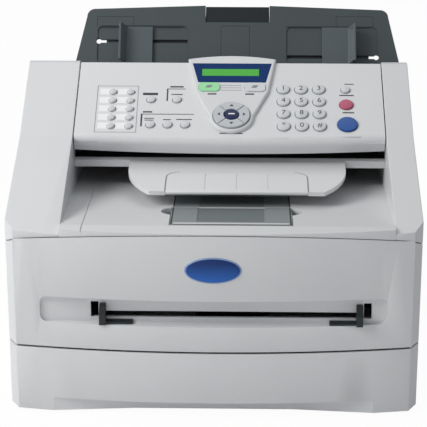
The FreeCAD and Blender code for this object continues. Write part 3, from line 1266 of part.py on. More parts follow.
def document_guide(label, side):
    """Document guide: base and flared fin on the tray, arm through its slot, rack behind."""
    piece = Piece(label, "tray")
    outer = f"(tray_center + {side} * (document_reach + guide_plate))"
    fin_in = f"(tray_center + {side} * document_reach)"
    inner = f"(tray_center + {side} * (document_reach + guide_plate - guide_base_width))"
    span = (outer, inner) if side == "-1" else (inner, outer)
    low = "(tray_neck + 2)"
    high = "(tray_neck + 2 + guide_base_length)"
    piece.pad("XY", [block(*span, low, high)], "fit", "guide_plate")
    flare = f"(tray_center + {side} * (document_reach + guide_plate + fin_flare))"
    flare_in = f"(tray_center + {side} * (document_reach + fin_flare))"
    fin = [(fin_in, "fit"), (outer, "fit"), (flare, "fin_height"), (flare_in, "fin_height")]
    piece.pad("XZ", [fin], low, "guide_base_length")
    height = f"(pinion_height - {side} * guide_gap / 2)"
    arm_far = f"(tray_center + {side} * (document_reach - 6))"
    arm_near = f"(tray_center + {side} * (document_reach - 18))"
    arm = (arm_far, arm_near) if side == "-1" else (arm_near, arm_far)
    rack_side = "1" if side == "-1" else "-1"
    behind = "-tray_plate - rack_behind - gear_face"
    piece.pad("XY", [block(*arm, f"{height} - guide_slot / 2 + fit", f"{height} + guide_slot / 2 - fit")],
              behind, "tray_plate + rack_behind + gear_face + fit")
    line = f"pinion_height + {rack_side} * gear_radius"
    back = f"{line} + {rack_side} * (rack_dedendum + rack_height)"
    edge = f"{height} - {rack_side} * (guide_slot / 2 - fit)"
    piece.pad("XY", [block(*arm, *((edge, back) if rack_side == "1" else (back, edge)))], behind,
              "gear_face")
    strip_far = f"(tray_center + {side} * (slot_far - 2 * guide_slot))"
    strip = (strip_far, arm_far) if side == "-1" else (arm_far, strip_far)
    piece.pad("XY", [block(*strip, f"{height} - guide_slot", f"{height} + guide_slot")], behind,
              "gear_face")
    add_rack(piece, "XY", behind, "tray_center", line, arm_near, rack_side, "guide_travel")
    return piece.done()


ROUND_KEYS = []


def plan_round_keys():
    """Round keys by name, with their place along the panel, radius and the face they stand in."""
    names = ("one", "two", "three", "four", "five", "six", "seven", "eight", "nine", "star", "zero",
             "hash")
    for index, name in enumerate(names):
        x = f"(number_x + {index % 3} * number_pitch_x)"
        u = f"(number_u - {index // 3} * number_pitch_u)"
        ROUND_KEYS.append((f"key_{name}", x, u, "number_radius", "0"))
    ROUND_KEYS.append(("start_key", "start_x", "start_u", "start_radius", "0"))
    ROUND_KEYS.append(("stop_key", "stop_x", "stop_u", "stop_radius", "0"))
    ROUND_KEYS.append(("ok_key", "nav_x", "nav_u", "ok_radius", "console_rise"))


def function_places():
    keys = [("report_x", "report_u"), ("shift_x", "option_u"), ("option_x", "option_u")]
    keys += [(f"(fax_key_x + {index} * fax_key_pitch)", "fax_key_u") for index in range(3)]
    return keys


def touch_places():
    return [(f"(touch_x + {column} * touch_pitch_x)", f"(touch_u - {row} * touch_pitch_u)")
            for row in range(5) for column in range(2)]


def key_profile(radius, face, bore=None):
    """Half section of a round key: retaining flange, straight side, rolled edge and crown."""
    top = f"({face} + key_proud)"
    foot = "-key_depth"
    if bore:
        ledge = f"{foot} + key_flange + key_gap + key_travel"
        return [(f"{bore} + key_flange", foot), (f"{radius} + key_flange", foot),
                (f"{radius} + key_flange", f"{foot} + key_flange"), (radius, f"{foot} + key_flange"),
                (radius, f"{top} - key_roll", "key_roll", 1), (f"{radius} - key_roll", top),
                (f"{bore} + key_roll", top, "key_roll", 1), (bore, f"{top} - key_roll"),
                (bore, ledge), (f"{bore} + key_flange", ledge)]
    return [("0", foot), (f"{radius} + key_flange", foot),
            (f"{radius} + key_flange", f"{foot} + key_flange"),
            (radius, f"{foot} + key_flange"), (radius, f"{top} - key_roll", "key_roll", 1),
            (f"{radius} - key_roll", top, f"(({radius} - key_roll) ^ 2 + key_dome ^ 2) / (2 * key_dome)",
             1),
            ("0", f"{top} + key_dome")]


def round_key(label, x, u, radius, face, listed=True):
    piece = Piece(label, "panel", listed)
    piece.turn(x, u, key_profile(radius, face))
    return piece.done()


def nav_pad():
    """Four-way ring, with diagonal grooves between its four faces."""
    piece = Piece("nav_pad", "panel")
    piece.turn("nav_x", "nav_u", key_profile("nav_radius", "console_rise", "ok_radius + 2 * key_gap"))
    top = "console_rise + key_proud"
    reach = "(nav_radius + 2) * 0.7071"
    half = "nav_groove / 2 * 0.7071"
    for turn in ("1", "-1"):
        groove = [(f"nav_x + {turn} * ({reach} + {half})", f"nav_u + {reach} - {half}"),
                  (f"nav_x + {turn} * ({reach} - {half})", f"nav_u + {reach} + {half}"),
                  (f"nav_x - {turn} * ({reach} + {half})", f"nav_u - {reach} + {half}"),
                  (f"nav_x - {turn} * ({reach} - {half})", f"nav_u - {reach} - {half}")]
        piece.cut("XY", [groove], f"{top} - 1.2", "2")
    return piece.done()


def mode_outline(side, grow):
    middle = f"(nav_x + {side} * mode_spread / 2)"
    return rounded(f"{middle} - mode_width / 2 - {grow}", f"{middle} + mode_width / 2 + {grow}",
                   f"mode_low - {grow}", f"mode_high + {grow}", f"(mode_corner + {grow})")


def mode_key(label, side):
    piece = Piece(label, "panel")
    piece.pad("XY", [mode_outline(side, "key_flange")], "-key_depth", "key_flange")
    piece.pad("XY", [mode_outline(side, "0")], "-key_depth", "key_depth + console_rise + key_proud / 2")
    return piece.done()


def key_openings(piece, low, high, on_console):
    """Openings for every key that passes through a wall of the panel."""
    loops = [("nav_x", "nav_u", "nav_radius + key_gap")]
    loops += [mode_outline(side, "key_gap") for side in ("-1", "1")]
    if not on_console:
        loops += [(x, u, f"{radius} + key_gap") for _, x, u, radius, face in ROUND_KEYS if face == "0"]
        loops += [(x, u, "function_radius + key_gap") for x, u in function_places()]
        loops += [(x, u, "touch_radius + key_gap") for x, u in touch_places()]
    piece.cut("XY", loops, low, f"{high} - ({low})")


def panel_outline(inset):
    bow = "((panel_width / 2) ^ 2 + panel_bow ^ 2) / (2 * panel_bow)"
    return [(f"panel_left + {inset}", inset, f"{bow} - {inset}", 1), (f"panel_right - {inset}", inset),
            (f"panel_right - {inset}", f"panel_length - {inset}"),
            (f"panel_left + {inset}", f"panel_length - {inset}")]


def control_panel():
    """Hinged upper half of the scanner: a shell with the key openings and the hinge pins."""
    piece = Piece("control_panel", "panel")
    piece.pad("XY", [panel_outline("0")], "-panel_depth", "panel_depth")
    piece.fillet("panel_lip_round", lambda edge, middle: abs(middle.z) < 0.01 and middle.y < -1)
    piece.cut("XY", [panel_outline("wall * 1.6")], "-panel_depth", "panel_depth - wall")
    key_openings(piece, "-wall", "0", False)
    pin = ("hinge_u", "-hinge_drop", "hinge_pin_radius")
    piece.pad("YZ", [pin], "panel_left - hinge_pin_length", "hinge_pin_length + wall")
    piece.pad("YZ", [pin], "panel_right - wall", "hinge_pin_length + wall")
    return piece.done()


def panel_console():
    """Raised shield-shaped console that holds the display, the mode keys and the navigation keys."""
    piece = Piece("panel_console", "panel")
    rear = "panel_length + console_overhang"
    bow = "((console_top_width / 2) ^ 2 + console_bow ^ 2) / (2 * console_bow)"
    outline = [("nav_x - console_top_width / 2", rear), ("nav_x - console_waist / 2", "console_waist_u"),
               ("nav_x - console_round", "nav_u", "console_round", 1),
               ("nav_x", "nav_u - console_round", "console_round", 1),
               ("nav_x + console_round", "nav_u"), ("nav_x + console_waist / 2", "console_waist_u"),
               ("nav_x + console_top_width / 2", rear, bow, 1)]
    piece.pad("XY", [outline], "0", "console_rise")
    piece.fillet("console_roll", lambda edge, middle: abs(middle.z - number("console_rise")) < 0.01)
    key_openings(piece, "0", "console_rise", True)
    piece.cut("XY", [window_outline("0")], "console_rise - window_sink", "window_sink")
    return piece.done()


def window_outline(inset):
    return [(f"nav_x - window_low_width / 2 + {inset}", f"window_low + {inset}"),
            (f"nav_x + window_low_width / 2 - {inset}", f"window_low + {inset}"),
            (f"nav_x + window_high_width / 2 - {inset}", f"window_high - {inset}"),
            (f"nav_x - window_high_width / 2 + {inset}", f"window_high - {inset}")]


def display_window():
    """Window over the display, let into the console."""
    piece = Piece("display_window", "panel")
    piece.pad("XY", [window_outline("0")], "console_rise - window_sink", "window_sink + 0.2")
    return piece.done()


def key_board():
    """Board under the keys, held between the panel's side walls."""
    piece = Piece("key_board", "panel")
    piece.pad("XY", [block("panel_left + wall * 1.6", "panel_right - wall * 1.6", "wall * 4",
                           "panel_length - 20")],
              "-board_drop - board_plate", "board_plate")
    return piece.done()


def keys():
    for label, x, u, radius, face in ROUND_KEYS:
        round_key(label, x, u, radius, face)
    nav_pad()
    mode_key("fax_mode_key", "-1")
    mode_key("copy_mode_key", "1")
    grouped("function_keys", [round_key("function_key", x, u, "function_radius", "0", False)
                              for x, u in function_places()])
    grouped("one_touch_keys", [round_key("one_touch_key", x, u, "touch_radius", "0", False)
                               for x, u in touch_places()])


def write_parts():
    """Checks every object and writes each sub-part."""
    doc.recompute()
    for item in doc.Objects:
        if "Invalid" in item.State or "Error" in item.State:
            raise RuntimeError(f"{item.Label} did not build: {item.State}")
    for item in subparts:
        if item.Shape.isNull() or not item.Shape.isValid():
            raise RuntimeError(f"{item.Label} has no valid shape")
    os.makedirs("parts", exist_ok=True)
    for item in subparts:
        item.Shape.exportStep(f"parts/{item.Label}.step")
    print(f"{len(subparts)} sub-parts")


plan_round_keys()
side_cover("left_side_cover", "-half_width", "half_width + cheek_left", "cheek_left - wall", True)
side_cover("right_side_cover", "cheek_right", "half_width - cheek_right", "cheek_right")
base_frame()
top_cover()
support_flap()
frame_plate("left_frame", "engine_left - frame_plate")
frame_plate("right_frame", "engine_right")
rear_cover()
back_door()
scanner_base()
image_sensor()
rollers()
engine_units()
circuit_boards()
rear_sockets()
rubber_feet()
front_cover()
feed_guide("feed_guide_left", "-1", "1")
feed_guide("feed_guide_right", "1", "-1")
pinion("feed_guide_pinion", "XZ", None, "path_x", "feed_pinion_z",
       "feed_wall_y + front_wall + rack_behind")
paper_cassette()
pressure_plate()
document_output_tray()
output_extension()
document_tray()
document_support()
document_guide("document_guide_left", "-1")
document_guide("document_guide_right", "1")
pinion("document_guide_pinion", "XY", "tray", "tray_center", "pinion_height",
       "-tray_plate - rack_behind - gear_face")
control_panel()
panel_console()
display_window()
key_board()
keys()
write_parts()
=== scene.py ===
import math

import bpy
from mathutils import Matrix, Vector


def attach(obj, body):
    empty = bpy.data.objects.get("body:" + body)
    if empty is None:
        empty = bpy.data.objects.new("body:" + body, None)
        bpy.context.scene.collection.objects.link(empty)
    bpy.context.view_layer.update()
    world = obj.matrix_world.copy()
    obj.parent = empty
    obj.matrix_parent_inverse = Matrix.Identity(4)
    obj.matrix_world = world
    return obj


# Desktop fax machine in metres, in the frame of the CAD part: +Z up and the front faces -Y.
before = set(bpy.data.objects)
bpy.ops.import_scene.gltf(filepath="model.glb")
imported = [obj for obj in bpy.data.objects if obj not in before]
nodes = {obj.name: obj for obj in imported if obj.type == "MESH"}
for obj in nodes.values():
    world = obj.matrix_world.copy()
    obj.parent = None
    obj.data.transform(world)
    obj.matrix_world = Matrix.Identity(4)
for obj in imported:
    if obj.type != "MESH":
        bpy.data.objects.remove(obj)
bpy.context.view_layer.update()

# Sizes and places below are in millimetres. A lip, foot or edge is the (y, z) where a sloped face
# of the CAD part starts.
MM = 0.001
PANEL_LIP = (-35.0, 222.0)
PANEL_SLOPE = math.radians(26.8)
TRAY_FOOT = (61.97, 244.97)
TRAY_LEAN = math.radians(54.0)
TRAY_CENTER = 18.8
OUTPUT_FOOT = (-21.47, 195.22)
OUTPUT_SLOPE = math.radians(3.8)
WELL_EDGE = (-165.0, 181.0)
WELL_SLOPE = math.radians(-5.0)
# Band of painted shade on the scanner base under the control panel: from behind its ledge to its
# rear, faded over an edge.
SCANNER_LEDGE_Y = -18.5
SCANNER_SHADE_END = 56.0
SCANNER_SHADE_EDGE = 1.0
FRONT_Y = -183.0
FRONT_BOW = 15.0
SHOULDER_X = 179.0

# Heights above the face of the panel, and of a print above what it is printed on.
CONSOLE_TOP = 3.4
WINDOW_TOP = 3.6
KEY_TOP = 2.5
NAV_TOP = CONSOLE_TOP + 2.0
PRINT_LIFT = 0.06

# Keys: x, and the way up the slope of the panel from its lip.
NUMBER_KEYS = ("one", "two", "three", "four", "five", "six",
               "seven", "eight", "nine", "star", "zero", "hash")
NUMBER_SIGNS = "123456789*0#"
NUMBER_COLUMNS = 3
NUMBER_FIRST = (64.2, 67.9)
NUMBER_PITCH = (17.25, 17.23)
TOUCH_COUNT = 10
TOUCH_COLUMNS = 2
TOUCH_FIRST = (-101.2, 63.1)
TOUCH_PITCH = (17.2, 11.93)
LABEL_FIRST = (-106.0, 64.0)
LABEL_SIZE = (16.2, 8.4)
NAV_PLACE = (14.2, 27.6)
MODE_KEY_U = 67.6

# Fine grain of all surfaces, with its height in metres.
GRAIN_SCALE = 1800.0
GRAIN_HEIGHT = 0.0002
ROUGHNESS_SPREAD = 0.05
COAT_ROUGHNESS = 0.12


def linear(hex_code):
    """Linear colour of a display colour such as d0d2d4."""
    values = [int(hex_code[i:i + 2], 16) / 255 for i in (0, 2, 4)]
    return [v / 12.92 if v <= 0.04045 else ((v + 0.055) / 1.055) ** 2.4 for v in values] + [1.0]


def fill(node, values):
    """Set the inputs of a shader node by name."""
    for slot, value in values.items():
        node.inputs[slot].default_value = value
    return node


def blend(tree, share, first, second):
    """Base colour that goes from one display colour to another as a share goes from 0 to 1."""
    colours = tree.nodes.new("ShaderNodeMix")
    colours.data_type = "RGBA"
    fill(colours, {"A": linear(first), "B": linear(second)})
    tree.links.new(share, colours.inputs["Factor"])
    tree.links.new(colours.outputs["Result"], tree.nodes["Principled BSDF"].inputs["Base Color"])


def multiply(tree, share):
    """Node that multiplies a share with its second input."""
    product = tree.nodes.new("ShaderNodeMath")
    product.operation = "MULTIPLY"
    tree.links.new(share, product.inputs[0])
    return product


def ramp(tree, axis, start, end):
    """Share that goes from 0 to 1 between two places along an axis."""
    place = tree.nodes.new("ShaderNodeTexCoord")
    split = tree.nodes.new("ShaderNodeSeparateXYZ")
    tree.links.new(place.outputs["Object"], split.inputs["Vector"])
    share = tree.nodes.new("ShaderNodeMapRange")
    fill(share, {"From Min": start * MM, "From Max": end * MM})
    tree.links.new(split.outputs[axis], share.inputs["Value"])
    return share.outputs["Result"]


def noise(tree, scale, detail):
    """Noise over the places of the object."""
    place = tree.nodes.new("ShaderNodeTexCoord")
    cloud = fill(tree.nodes.new("ShaderNodeTexNoise"), {"Scale": scale, "Detail": detail})
    tree.links.new(place.outputs["Object"], cloud.inputs["Vector"])
    return cloud.outputs["Fac"]


def material(name, base, shade, roughness, grain=0.0, coat=0.0, metallic=0.0, patch_scale=14.0,
             specular=0.5):
    """Moulded or coated surface: two close colours in soft patches, with a fine grain."""
    item = bpy.data.materials.new(name)
    item.use_nodes = True
    tree = item.node_tree
    shader = fill(tree.nodes["Principled BSDF"], {
        "Metallic": metallic, "Specular IOR Level": specular,
        "Coat Weight": coat, "Coat Roughness": COAT_ROUGHNESS})
    blend(tree, noise(tree, patch_scale, detail=3.0), base, shade)
    fine = noise(tree, GRAIN_SCALE, detail=2.0)
    spread = fill(tree.nodes.new("ShaderNodeMapRange"), {
        "To Min": roughness - ROUGHNESS_SPREAD, "To Max": roughness + ROUGHNESS_SPREAD})
    tree.links.new(fine, spread.inputs["Value"])
    tree.links.new(spread.outputs["Result"], shader.inputs["Roughness"])
    if grain:
        bump = fill(tree.nodes.new("ShaderNodeBump"), {"Strength": grain, "Distance": GRAIN_HEIGHT})
        tree.links.new(fine, bump.inputs["Height"])
        tree.links.new(bump.outputs["Normal"], shader.inputs["Normal"])
    return item


def key_lacquer(name, base, shade):
    """Glossy colour of a coloured key."""
    return material(name, base, shade, roughness=0.34, coat=0.1, specular=0.2)


def display_material():
    """Lit display: green glow with the faint cell pattern of a character display."""
    item = material("display_glow", "4fa845", "47a03e", roughness=0.35, specular=0.1)
    tree = item.node_tree
    shader = fill(tree.nodes["Principled BSDF"], {"Emission Strength": 0.18})
    place = tree.nodes.new("ShaderNodeTexCoord")
    cells = fill(tree.nodes.new("ShaderNodeTexBrick"), {
        "Color1": linear("66c452"), "Color2": linear("60bc4e"), "Mortar": linear("4c9a40"),
        "Scale": 120.0, "Mortar Size": 0.03, "Brick Width": 0.4, "Row Height": 0.5})
    cells.offset = 0.0
    tree.links.new(place.outputs["Object"], cells.inputs["Vector"])
    tree.links.new(cells.outputs["Color"], shader.inputs["Emission Color"])
    return item


def sheen_graded(name, low, high, low_z, high_z):
    """Glossy lacquer with a painted highlight: its colour changes with the height."""
    item = material(name, low, low, roughness=0.25, coat=0.15, specular=0.2)
    blend(item.node_tree, ramp(item.node_tree, "Z", low_z, high_z), low, high)
    return item


def shade_banded(name, shell, shade_colour, start, end):
    """Moulding with painted shade: a near-black band between two places along the depth, where the
    control panel shades the part.
    """
    item = material(name, shell, shell, roughness=0.5, grain=0.05)
    tree = item.node_tree
    share = multiply(tree, ramp(tree, "Y", start, start + SCANNER_SHADE_EDGE))
    tree.links.new(ramp(tree, "Y", end + SCANNER_SHADE_EDGE, end), share.inputs[1])
    blend(tree, share.outputs["Value"], shell, shade_colour)
    return item


# Each row: name, the two close colours, roughness and strength of the grain.
SHELL = material("shell_grey", "dcdddf", "d6d8da", 0.46, 0.05)
PANEL = material("panel_grey", "dfe0e2", "d9dbdd", 0.48, 0.06)
WHITE = material("tray_white", "e6e7e8", "e0e1e3", 0.42, 0.03)
# Support flap greys: painted shade for the shadow that the output tray casts on the flap; the
# second, darker one is painted shade in sunk parts and seams.
FLAP_SHADED = material("flap_painted_shade", "8f9698", "878e90", 0.50, 0.05)
FLAP_DEEP_SHADE = material("flap_deep_painted_shade", "757d7f", "6e7678", 0.55, 0.05)
# Scanner base: shell grey with a near-black band of painted shade under the control panel.
SCANNER_SHADED = shade_banded("scanner_painted_shade", "dcdddf", "0c0d0e", SCANNER_LEDGE_Y, SCANNER_SHADE_END)
SLATE = material("tray_slate", "4a5355", "424b4d", 0.50, 0.08)
GUIDE = material("guide_slate", "566164", "4e595c", 0.32, 0.05, specular=0.8)
BLACK = material("guide_black", "1d2428", "181f22", 0.42, 0.05)
INNER = material("inner_black", "232325", "1c1c1e", 0.55, 0.05)
KEY = material("key_grey", "d6d8da", "ced1d4", 0.36, 0.03)
NAV_KEY = material("nav_grey", "c2c6ca", "babfc4", 0.36, 0.03)
BLUE_KEY = key_lacquer("key_blue", "2f5ba4", "2a549c")
PINK_KEY = key_lacquer("key_pink", "c0627c", "b75872")
NAVY_KEY = key_lacquer("key_navy", "182655", "14214b")
GREEN_KEY = key_lacquer("key_green", "a4e6ae", "98dfa4")
WINDOW = material("window_blue", "16386f", "143466", 0.30, specular=0.05)
STEEL = material("sheet_steel", "a8aaac", "9c9ea1", 0.34, 0.03, metallic=1.0)
RUBBER = material("roller_rubber", "1b1b1c", "151516", 0.70, 0.12)
DRUM = material("drum_coat", "3f7f6c", "397563", 0.22, coat=0.6)
SLEEVE = material("heat_sleeve", "5a4c42", "50433a", 0.35, 0.03)
BOARD = material("board_green", "1d5a34", "184e2d", 0.45, 0.04, patch_scale=120.0)
PRINT_DARK = material("print_dark", "3a3d45", "34373f", 0.55)
# Grey of prints, and of the painted shade rings in the gaps round the keys.
PRINT_AND_SHADE_GREY = material("print_and_shade_grey", "8b9095", "83888d", 0.55)
PRINT_WHITE = material("print_white", "f6f7f7", "f0f1f2", 0.55)
# Dark grooves and seams; also painted shade lines along the tray pockets, in the gaps round the
# support flap, on the floor and in the guide slots.
GROOVE_AND_SHADE = material("groove_and_shade_dark", "262b2d", "212628", 0.60)
# Badge face: painted highlight, lighter blue at the bottom and darker at the top.
BADGE_SHEEN_BLUE = sheen_graded("badge_blue_sheen", "2a66bc", "163672", low_z=137.0, high_z=153.0)
BADGE_RIM = material("badge_rim", "8ea6cc", "8399c2", 0.30, coat=0.2)
DISPLAY = display_material()

# Looks of the CAD nodes. Number keys are key grey, and a node that isn't named is shell grey.
LOOKS = {
    PANEL: ("control_panel",),
    WHITE: ("document_output_tray", "output_extension"),
    FLAP_SHADED: ("support_flap",),
    SLATE: ("document_tray",),
    GUIDE: ("document_guide_left", "document_guide_right"),
    BLACK: ("document_support", "feed_guide_left", "feed_guide_right", "feed_guide_pinion",
            "document_guide_pinion", "image_sensor"),
    INNER: ("laser_unit", "toner_cartridge", "drum_unit", "fuser_cover", "rear_sockets"),
    STEEL: ("left_frame", "right_frame", "pressure_plate"),
    RUBBER: ("pickup_roller", "pressure_roller", "document_feed_roller", "rubber_feet"),
    DRUM: ("photo_drum",),
    SLEEVE: ("heat_roller",),
    BOARD: ("circuit_boards", "key_board"),
    WINDOW: ("display_window",),
    BLUE_KEY: ("start_key",),
    PINK_KEY: ("stop_key",),
    NAVY_KEY: ("ok_key",),
    GREEN_KEY: ("fax_mode_key",),
    SCANNER_SHADED: ("scanner_base",),
    NAV_KEY: ("nav_pad",),
    KEY: ("copy_mode_key", "function_keys", "one_touch_keys"),
}
look_of = {name: look for look, names in LOOKS.items() for name in names}

# Rounding of the moulded edges; all other nodes get the small one.
EDGE_SMALL = 0.35
EDGE_ROUND = {
    "left_side_cover": 1.6, "right_side_cover": 1.6, "front_cover": 1.2, "paper_cassette": 1.2,
    "top_cover": 1.0, "document_output_tray": 0.9, "control_panel": 0.8, "rear_cover": 0.8,
    "scanner_base": 0.8, "document_tray": 0.6, "output_extension": 0.5, "support_flap": 0.5,
}
EDGE_ANGLE = math.radians(32)
WELD_GAP = 0.001

for name, node in nodes.items():
    look = look_of.get(name, KEY if name.startswith("key_") else SHELL)
    node.data.materials.clear()
    node.data.materials.append(look)
    weld = node.modifiers.new("weld", "WELD")
    weld.merge_threshold = WELD_GAP * MM
    bevel = node.modifiers.new("edges", "BEVEL")
    bevel.width = EDGE_ROUND.get(name, EDGE_SMALL) * MM
    bevel.segments = 3
    bevel.limit_method = "ANGLE"
    bevel.angle_limit = EDGE_ANGLE
    bevel.harden_normals = True
    bevel.use_clamp_overlap = True


def on_slope(foot, slope, x, along, lift):
    """World matrix of a place on a plane that rises from a foot line, a lift above it."""
    y = foot[0] + along * math.cos(slope) - lift * math.sin(slope)
    z = foot[1] + along * math.sin(slope) + lift * math.cos(slope)
    return Matrix.Translation(Vector((x, y, z)) * MM) @ Matrix.Rotation(slope, 4, "X")


def on_panel(x, u, lift):
    """World matrix of a place on the control panel."""
    return on_slope(PANEL_LIP, PANEL_SLOPE, x, u, lift)


def in_grid(index, columns, first, pitch):
    """Place of a key in rows that are counted from the upper left."""
    return first[0] + pitch[0] * (index % columns), first[1] - pitch[1] * (index // columns)


def number_place(index):
    """Place of a number key."""
    return in_grid(index, NUMBER_COLUMNS, NUMBER_FIRST, NUMBER_PITCH)


def top_of(name):
    """Height of a node's highest point above the face of the panel."""
    base = on_panel(0.0, 0.0, 0.0).inverted() @ nodes[name].matrix_world
    return max((base @ vertex.co).z for vertex in nodes[name].data.vertices) / MM


def add_object(name, data):
    """A new object in the scene."""
    item = bpy.data.objects.new(name, data)
    bpy.context.scene.collection.objects.link(item)
    return item


def piece(name, points, faces, look, body, matrix=Matrix.Identity(4)):
    """A mesh piece from points in millimetres, riding on a body."""
    mesh = bpy.data.meshes.new(name)
    mesh.from_pydata([tuple(c * MM for c in point) for point in points], [], faces)
    mesh.materials.append(look)
    item = add_object(name, mesh)
    item.matrix_world = matrix
    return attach(item, body)


def flat(name, outline, look, body, matrix):
    """A flat print in its own plane."""
    points = [(x, y, 0.0) for x, y in outline]
    piece(name, points, [tuple(range(len(outline)))], look, body, matrix)


def rectangle(width, height):
    """Outline of a rectangle about its middle."""
    x, y = width / 2, height / 2
    return [(-x, -y), (x, -y), (x, y), (-x, y)]


def panel_print(name, x, u, outline, look, lift=0.0):
    """A flat print on the control panel."""
    flat(name, outline, look, "control_panel", on_panel(x, u, lift + PRINT_LIFT))


def circle(radius, count):
    """Points of a circle about its middle."""
    turns = [math.tau * i / count for i in range(count)]
    return [(radius * math.cos(turn), radius * math.sin(turn)) for turn in turns]


def strip(first, second, count):
    """Faces of a closed strip between two rings of points, each given by its first point."""
    return [(first + i, first + (i + 1) % count, second + (i + 1) % count, second + i)
            for i in range(count)]


RING_STEPS = 48


def ring(name, x, u, radius, width, lift=0.0):
    """A thin grey ring of painted shade round a key, in the gap between the key and the panel."""
    points = [(px, py, 0.0) for reach in (radius, radius + width)
              for px, py in circle(reach, RING_STEPS)]
    piece(name, points, strip(RING_STEPS, 0, RING_STEPS), PRINT_AND_SHADE_GREY, "control_panel",
          on_panel(x, u, lift + PRINT_LIFT))


SIGN_SIZE = 8.2


def key_digit(sign, name, x, u):
    """The sign on a number key, riding on that key."""
    curve = bpy.data.curves.new(f"sign_{name}", "FONT")
    curve.body = sign
    curve.size = SIGN_SIZE * MM
    curve.align_x = "CENTER"
    curve.align_y = "CENTER"
    curve.materials.append(PRINT_DARK)
    text = add_object(f"sign_{name}", curve)
    text.matrix_world = on_panel(x, u, KEY_TOP + PRINT_LIFT)
    bpy.context.view_layer.update()
    graph = bpy.context.evaluated_depsgraph_get()
    mesh = bpy.data.meshes.new_from_object(text.evaluated_get(graph))
    solid = add_object(f"sign_of_{name}", mesh)
    solid.matrix_world = text.matrix_world.copy()
    bpy.data.objects.remove(text)
    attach(solid, name)


for index, (name, sign) in enumerate(zip(NUMBER_KEYS, NUMBER_SIGNS)):
    key_digit(sign, f"key_{name}", *number_place(index))

# Lit display in the window.
DISPLAY_PLACE = (12.7, 88.6)
DISPLAY_SIZE = (55.6, 9.8)
panel_print("display", *DISPLAY_PLACE, rectangle(*DISPLAY_SIZE), DISPLAY, WINDOW_TOP)

# Arrows of the navigation ring, a bar on its centre key and a page sign on each mode key.
ARROW = [(-2.2, 11.0), (2.2, 11.0), (0.0, 13.8)]
OK_BAR = rectangle(6.0, 1.6)
PAGE = [(-3.6, -1.8), (1.6, -1.8), (3.6, 1.8), (-1.6, 1.8)]
nav_face = on_panel(*NAV_PLACE, NAV_TOP + PRINT_LIFT)
for angle in range(0, 360, 90):
    turn = Matrix.Rotation(math.radians(angle), 4, "Z")
    flat(f"arrow_{angle}", ARROW, PRINT_DARK, "nav_pad", nav_face @ turn)
ok_face = on_panel(*NAV_PLACE, top_of("ok_key") + PRINT_LIFT)
flat("ok_mark", OK_BAR, PRINT_WHITE, "ok_key", ok_face)
for name, x in (("fax_mode_key", -8.1), ("copy_mode_key", 36.4)):
    key_face = on_panel(x, MODE_KEY_U, top_of(name) + PRINT_LIFT)
    flat(f"page_{name}", PAGE, PRINT_AND_SHADE_GREY, name, key_face)

# Rings of painted shade round the keys, in the gaps between keys and panel, by inner radius and
# width. Those of the one-touch keys lie over the labels.
NUMBER_GAP_SHADE = (6.3, 0.6)
TOUCH_GAP_SHADE = (3.7, 0.45)
NAV_GAP_SHADE = (17.9, 0.6)
ROUND_GAP_SHADE_WIDTH = 0.5
LABEL_COVER = 0.03
ROUND_KEYS = (  # name, x, u, inner radius of the line
    ("start", 125.1, 19.1, 9.9), ("stop", 124.8, 46.6, 6.8), ("report", 124.6, 67.5, 4.5),
    ("shift", -64.0, 52.6, 4.5), ("options", -39.0, 52.6, 4.5), ("fax_left", -63.5, 17.6, 4.5),
    ("fax_middle", -46.85, 17.6, 4.5), ("fax_right", -30.2, 17.6, 4.5),
)
for index in range(len(NUMBER_KEYS)):
    ring(f"ring_number_{index}", *number_place(index), *NUMBER_GAP_SHADE)
for index in range(TOUCH_COUNT):
    place = in_grid(index, TOUCH_COLUMNS, TOUCH_FIRST, TOUCH_PITCH)
    ring(f"ring_touch_{index}", *place, *TOUCH_GAP_SHADE, LABEL_COVER)
for name, x, u, radius in ROUND_KEYS:
    ring(f"ring_{name}", x, u, radius, ROUND_GAP_SHADE_WIDTH)
ring("ring_nav", *NAV_PLACE, *NAV_GAP_SHADE, CONSOLE_TOP)

# Label strips of the one-touch keys.
for index in range(TOUCH_COUNT):
    row, column = divmod(index, TOUCH_COLUMNS)
    place = in_grid(index, TOUCH_COLUMNS, LABEL_FIRST, TOUCH_PITCH)
    panel_print(f"label_{row}_{column}", *place, rectangle(*LABEL_SIZE), PRINT_WHITE)

# Frame of the one-touch keys, brackets over the key groups and the bar over the shift key.
LINES = {  # x, u, width, height
    "touch_edge_low": (-96.2, 7.4, 40.0, 0.6), "touch_edge_high": (-96.8, 72.0, 40.0, 0.6),
    "touch_edge_left": (-116.4, 39.7, 0.6, 65.0), "touch_edge_right": (-76.9, 39.7, 0.6, 65.0),
    "bracket_fax": (-47.5, 32.5, 51.0, 0.9), "bracket_fax_left": (-72.2, 24.0, 1.6, 17.0),
    "bracket_copy": (-40.0, 68.2, 18.0, 0.9), "bracket_copy_left": (-48.4, 59.5, 1.4, 17.0),
    "shift_mark": (-64.9, 60.9, 14.6, 3.4),
}
for name, (x, u, width, height) in LINES.items():
    look = PRINT_AND_SHADE_GREY if name.startswith("touch") else PRINT_DARK
    panel_print(name, x, u, rectangle(width, height), look)

# Lines between the mode keys.
MODE_LINE_X = 13.2
MODE_LINE_ROWS = (63.2, 66.6, 70.0)
MODE_LINE = rectangle(21.0, 0.6)
for index, u in enumerate(MODE_LINE_ROWS):
    panel_print(f"mode_line_{index}", MODE_LINE_X, u, MODE_LINE, PRINT_AND_SHADE_GREY, CONSOLE_TOP)

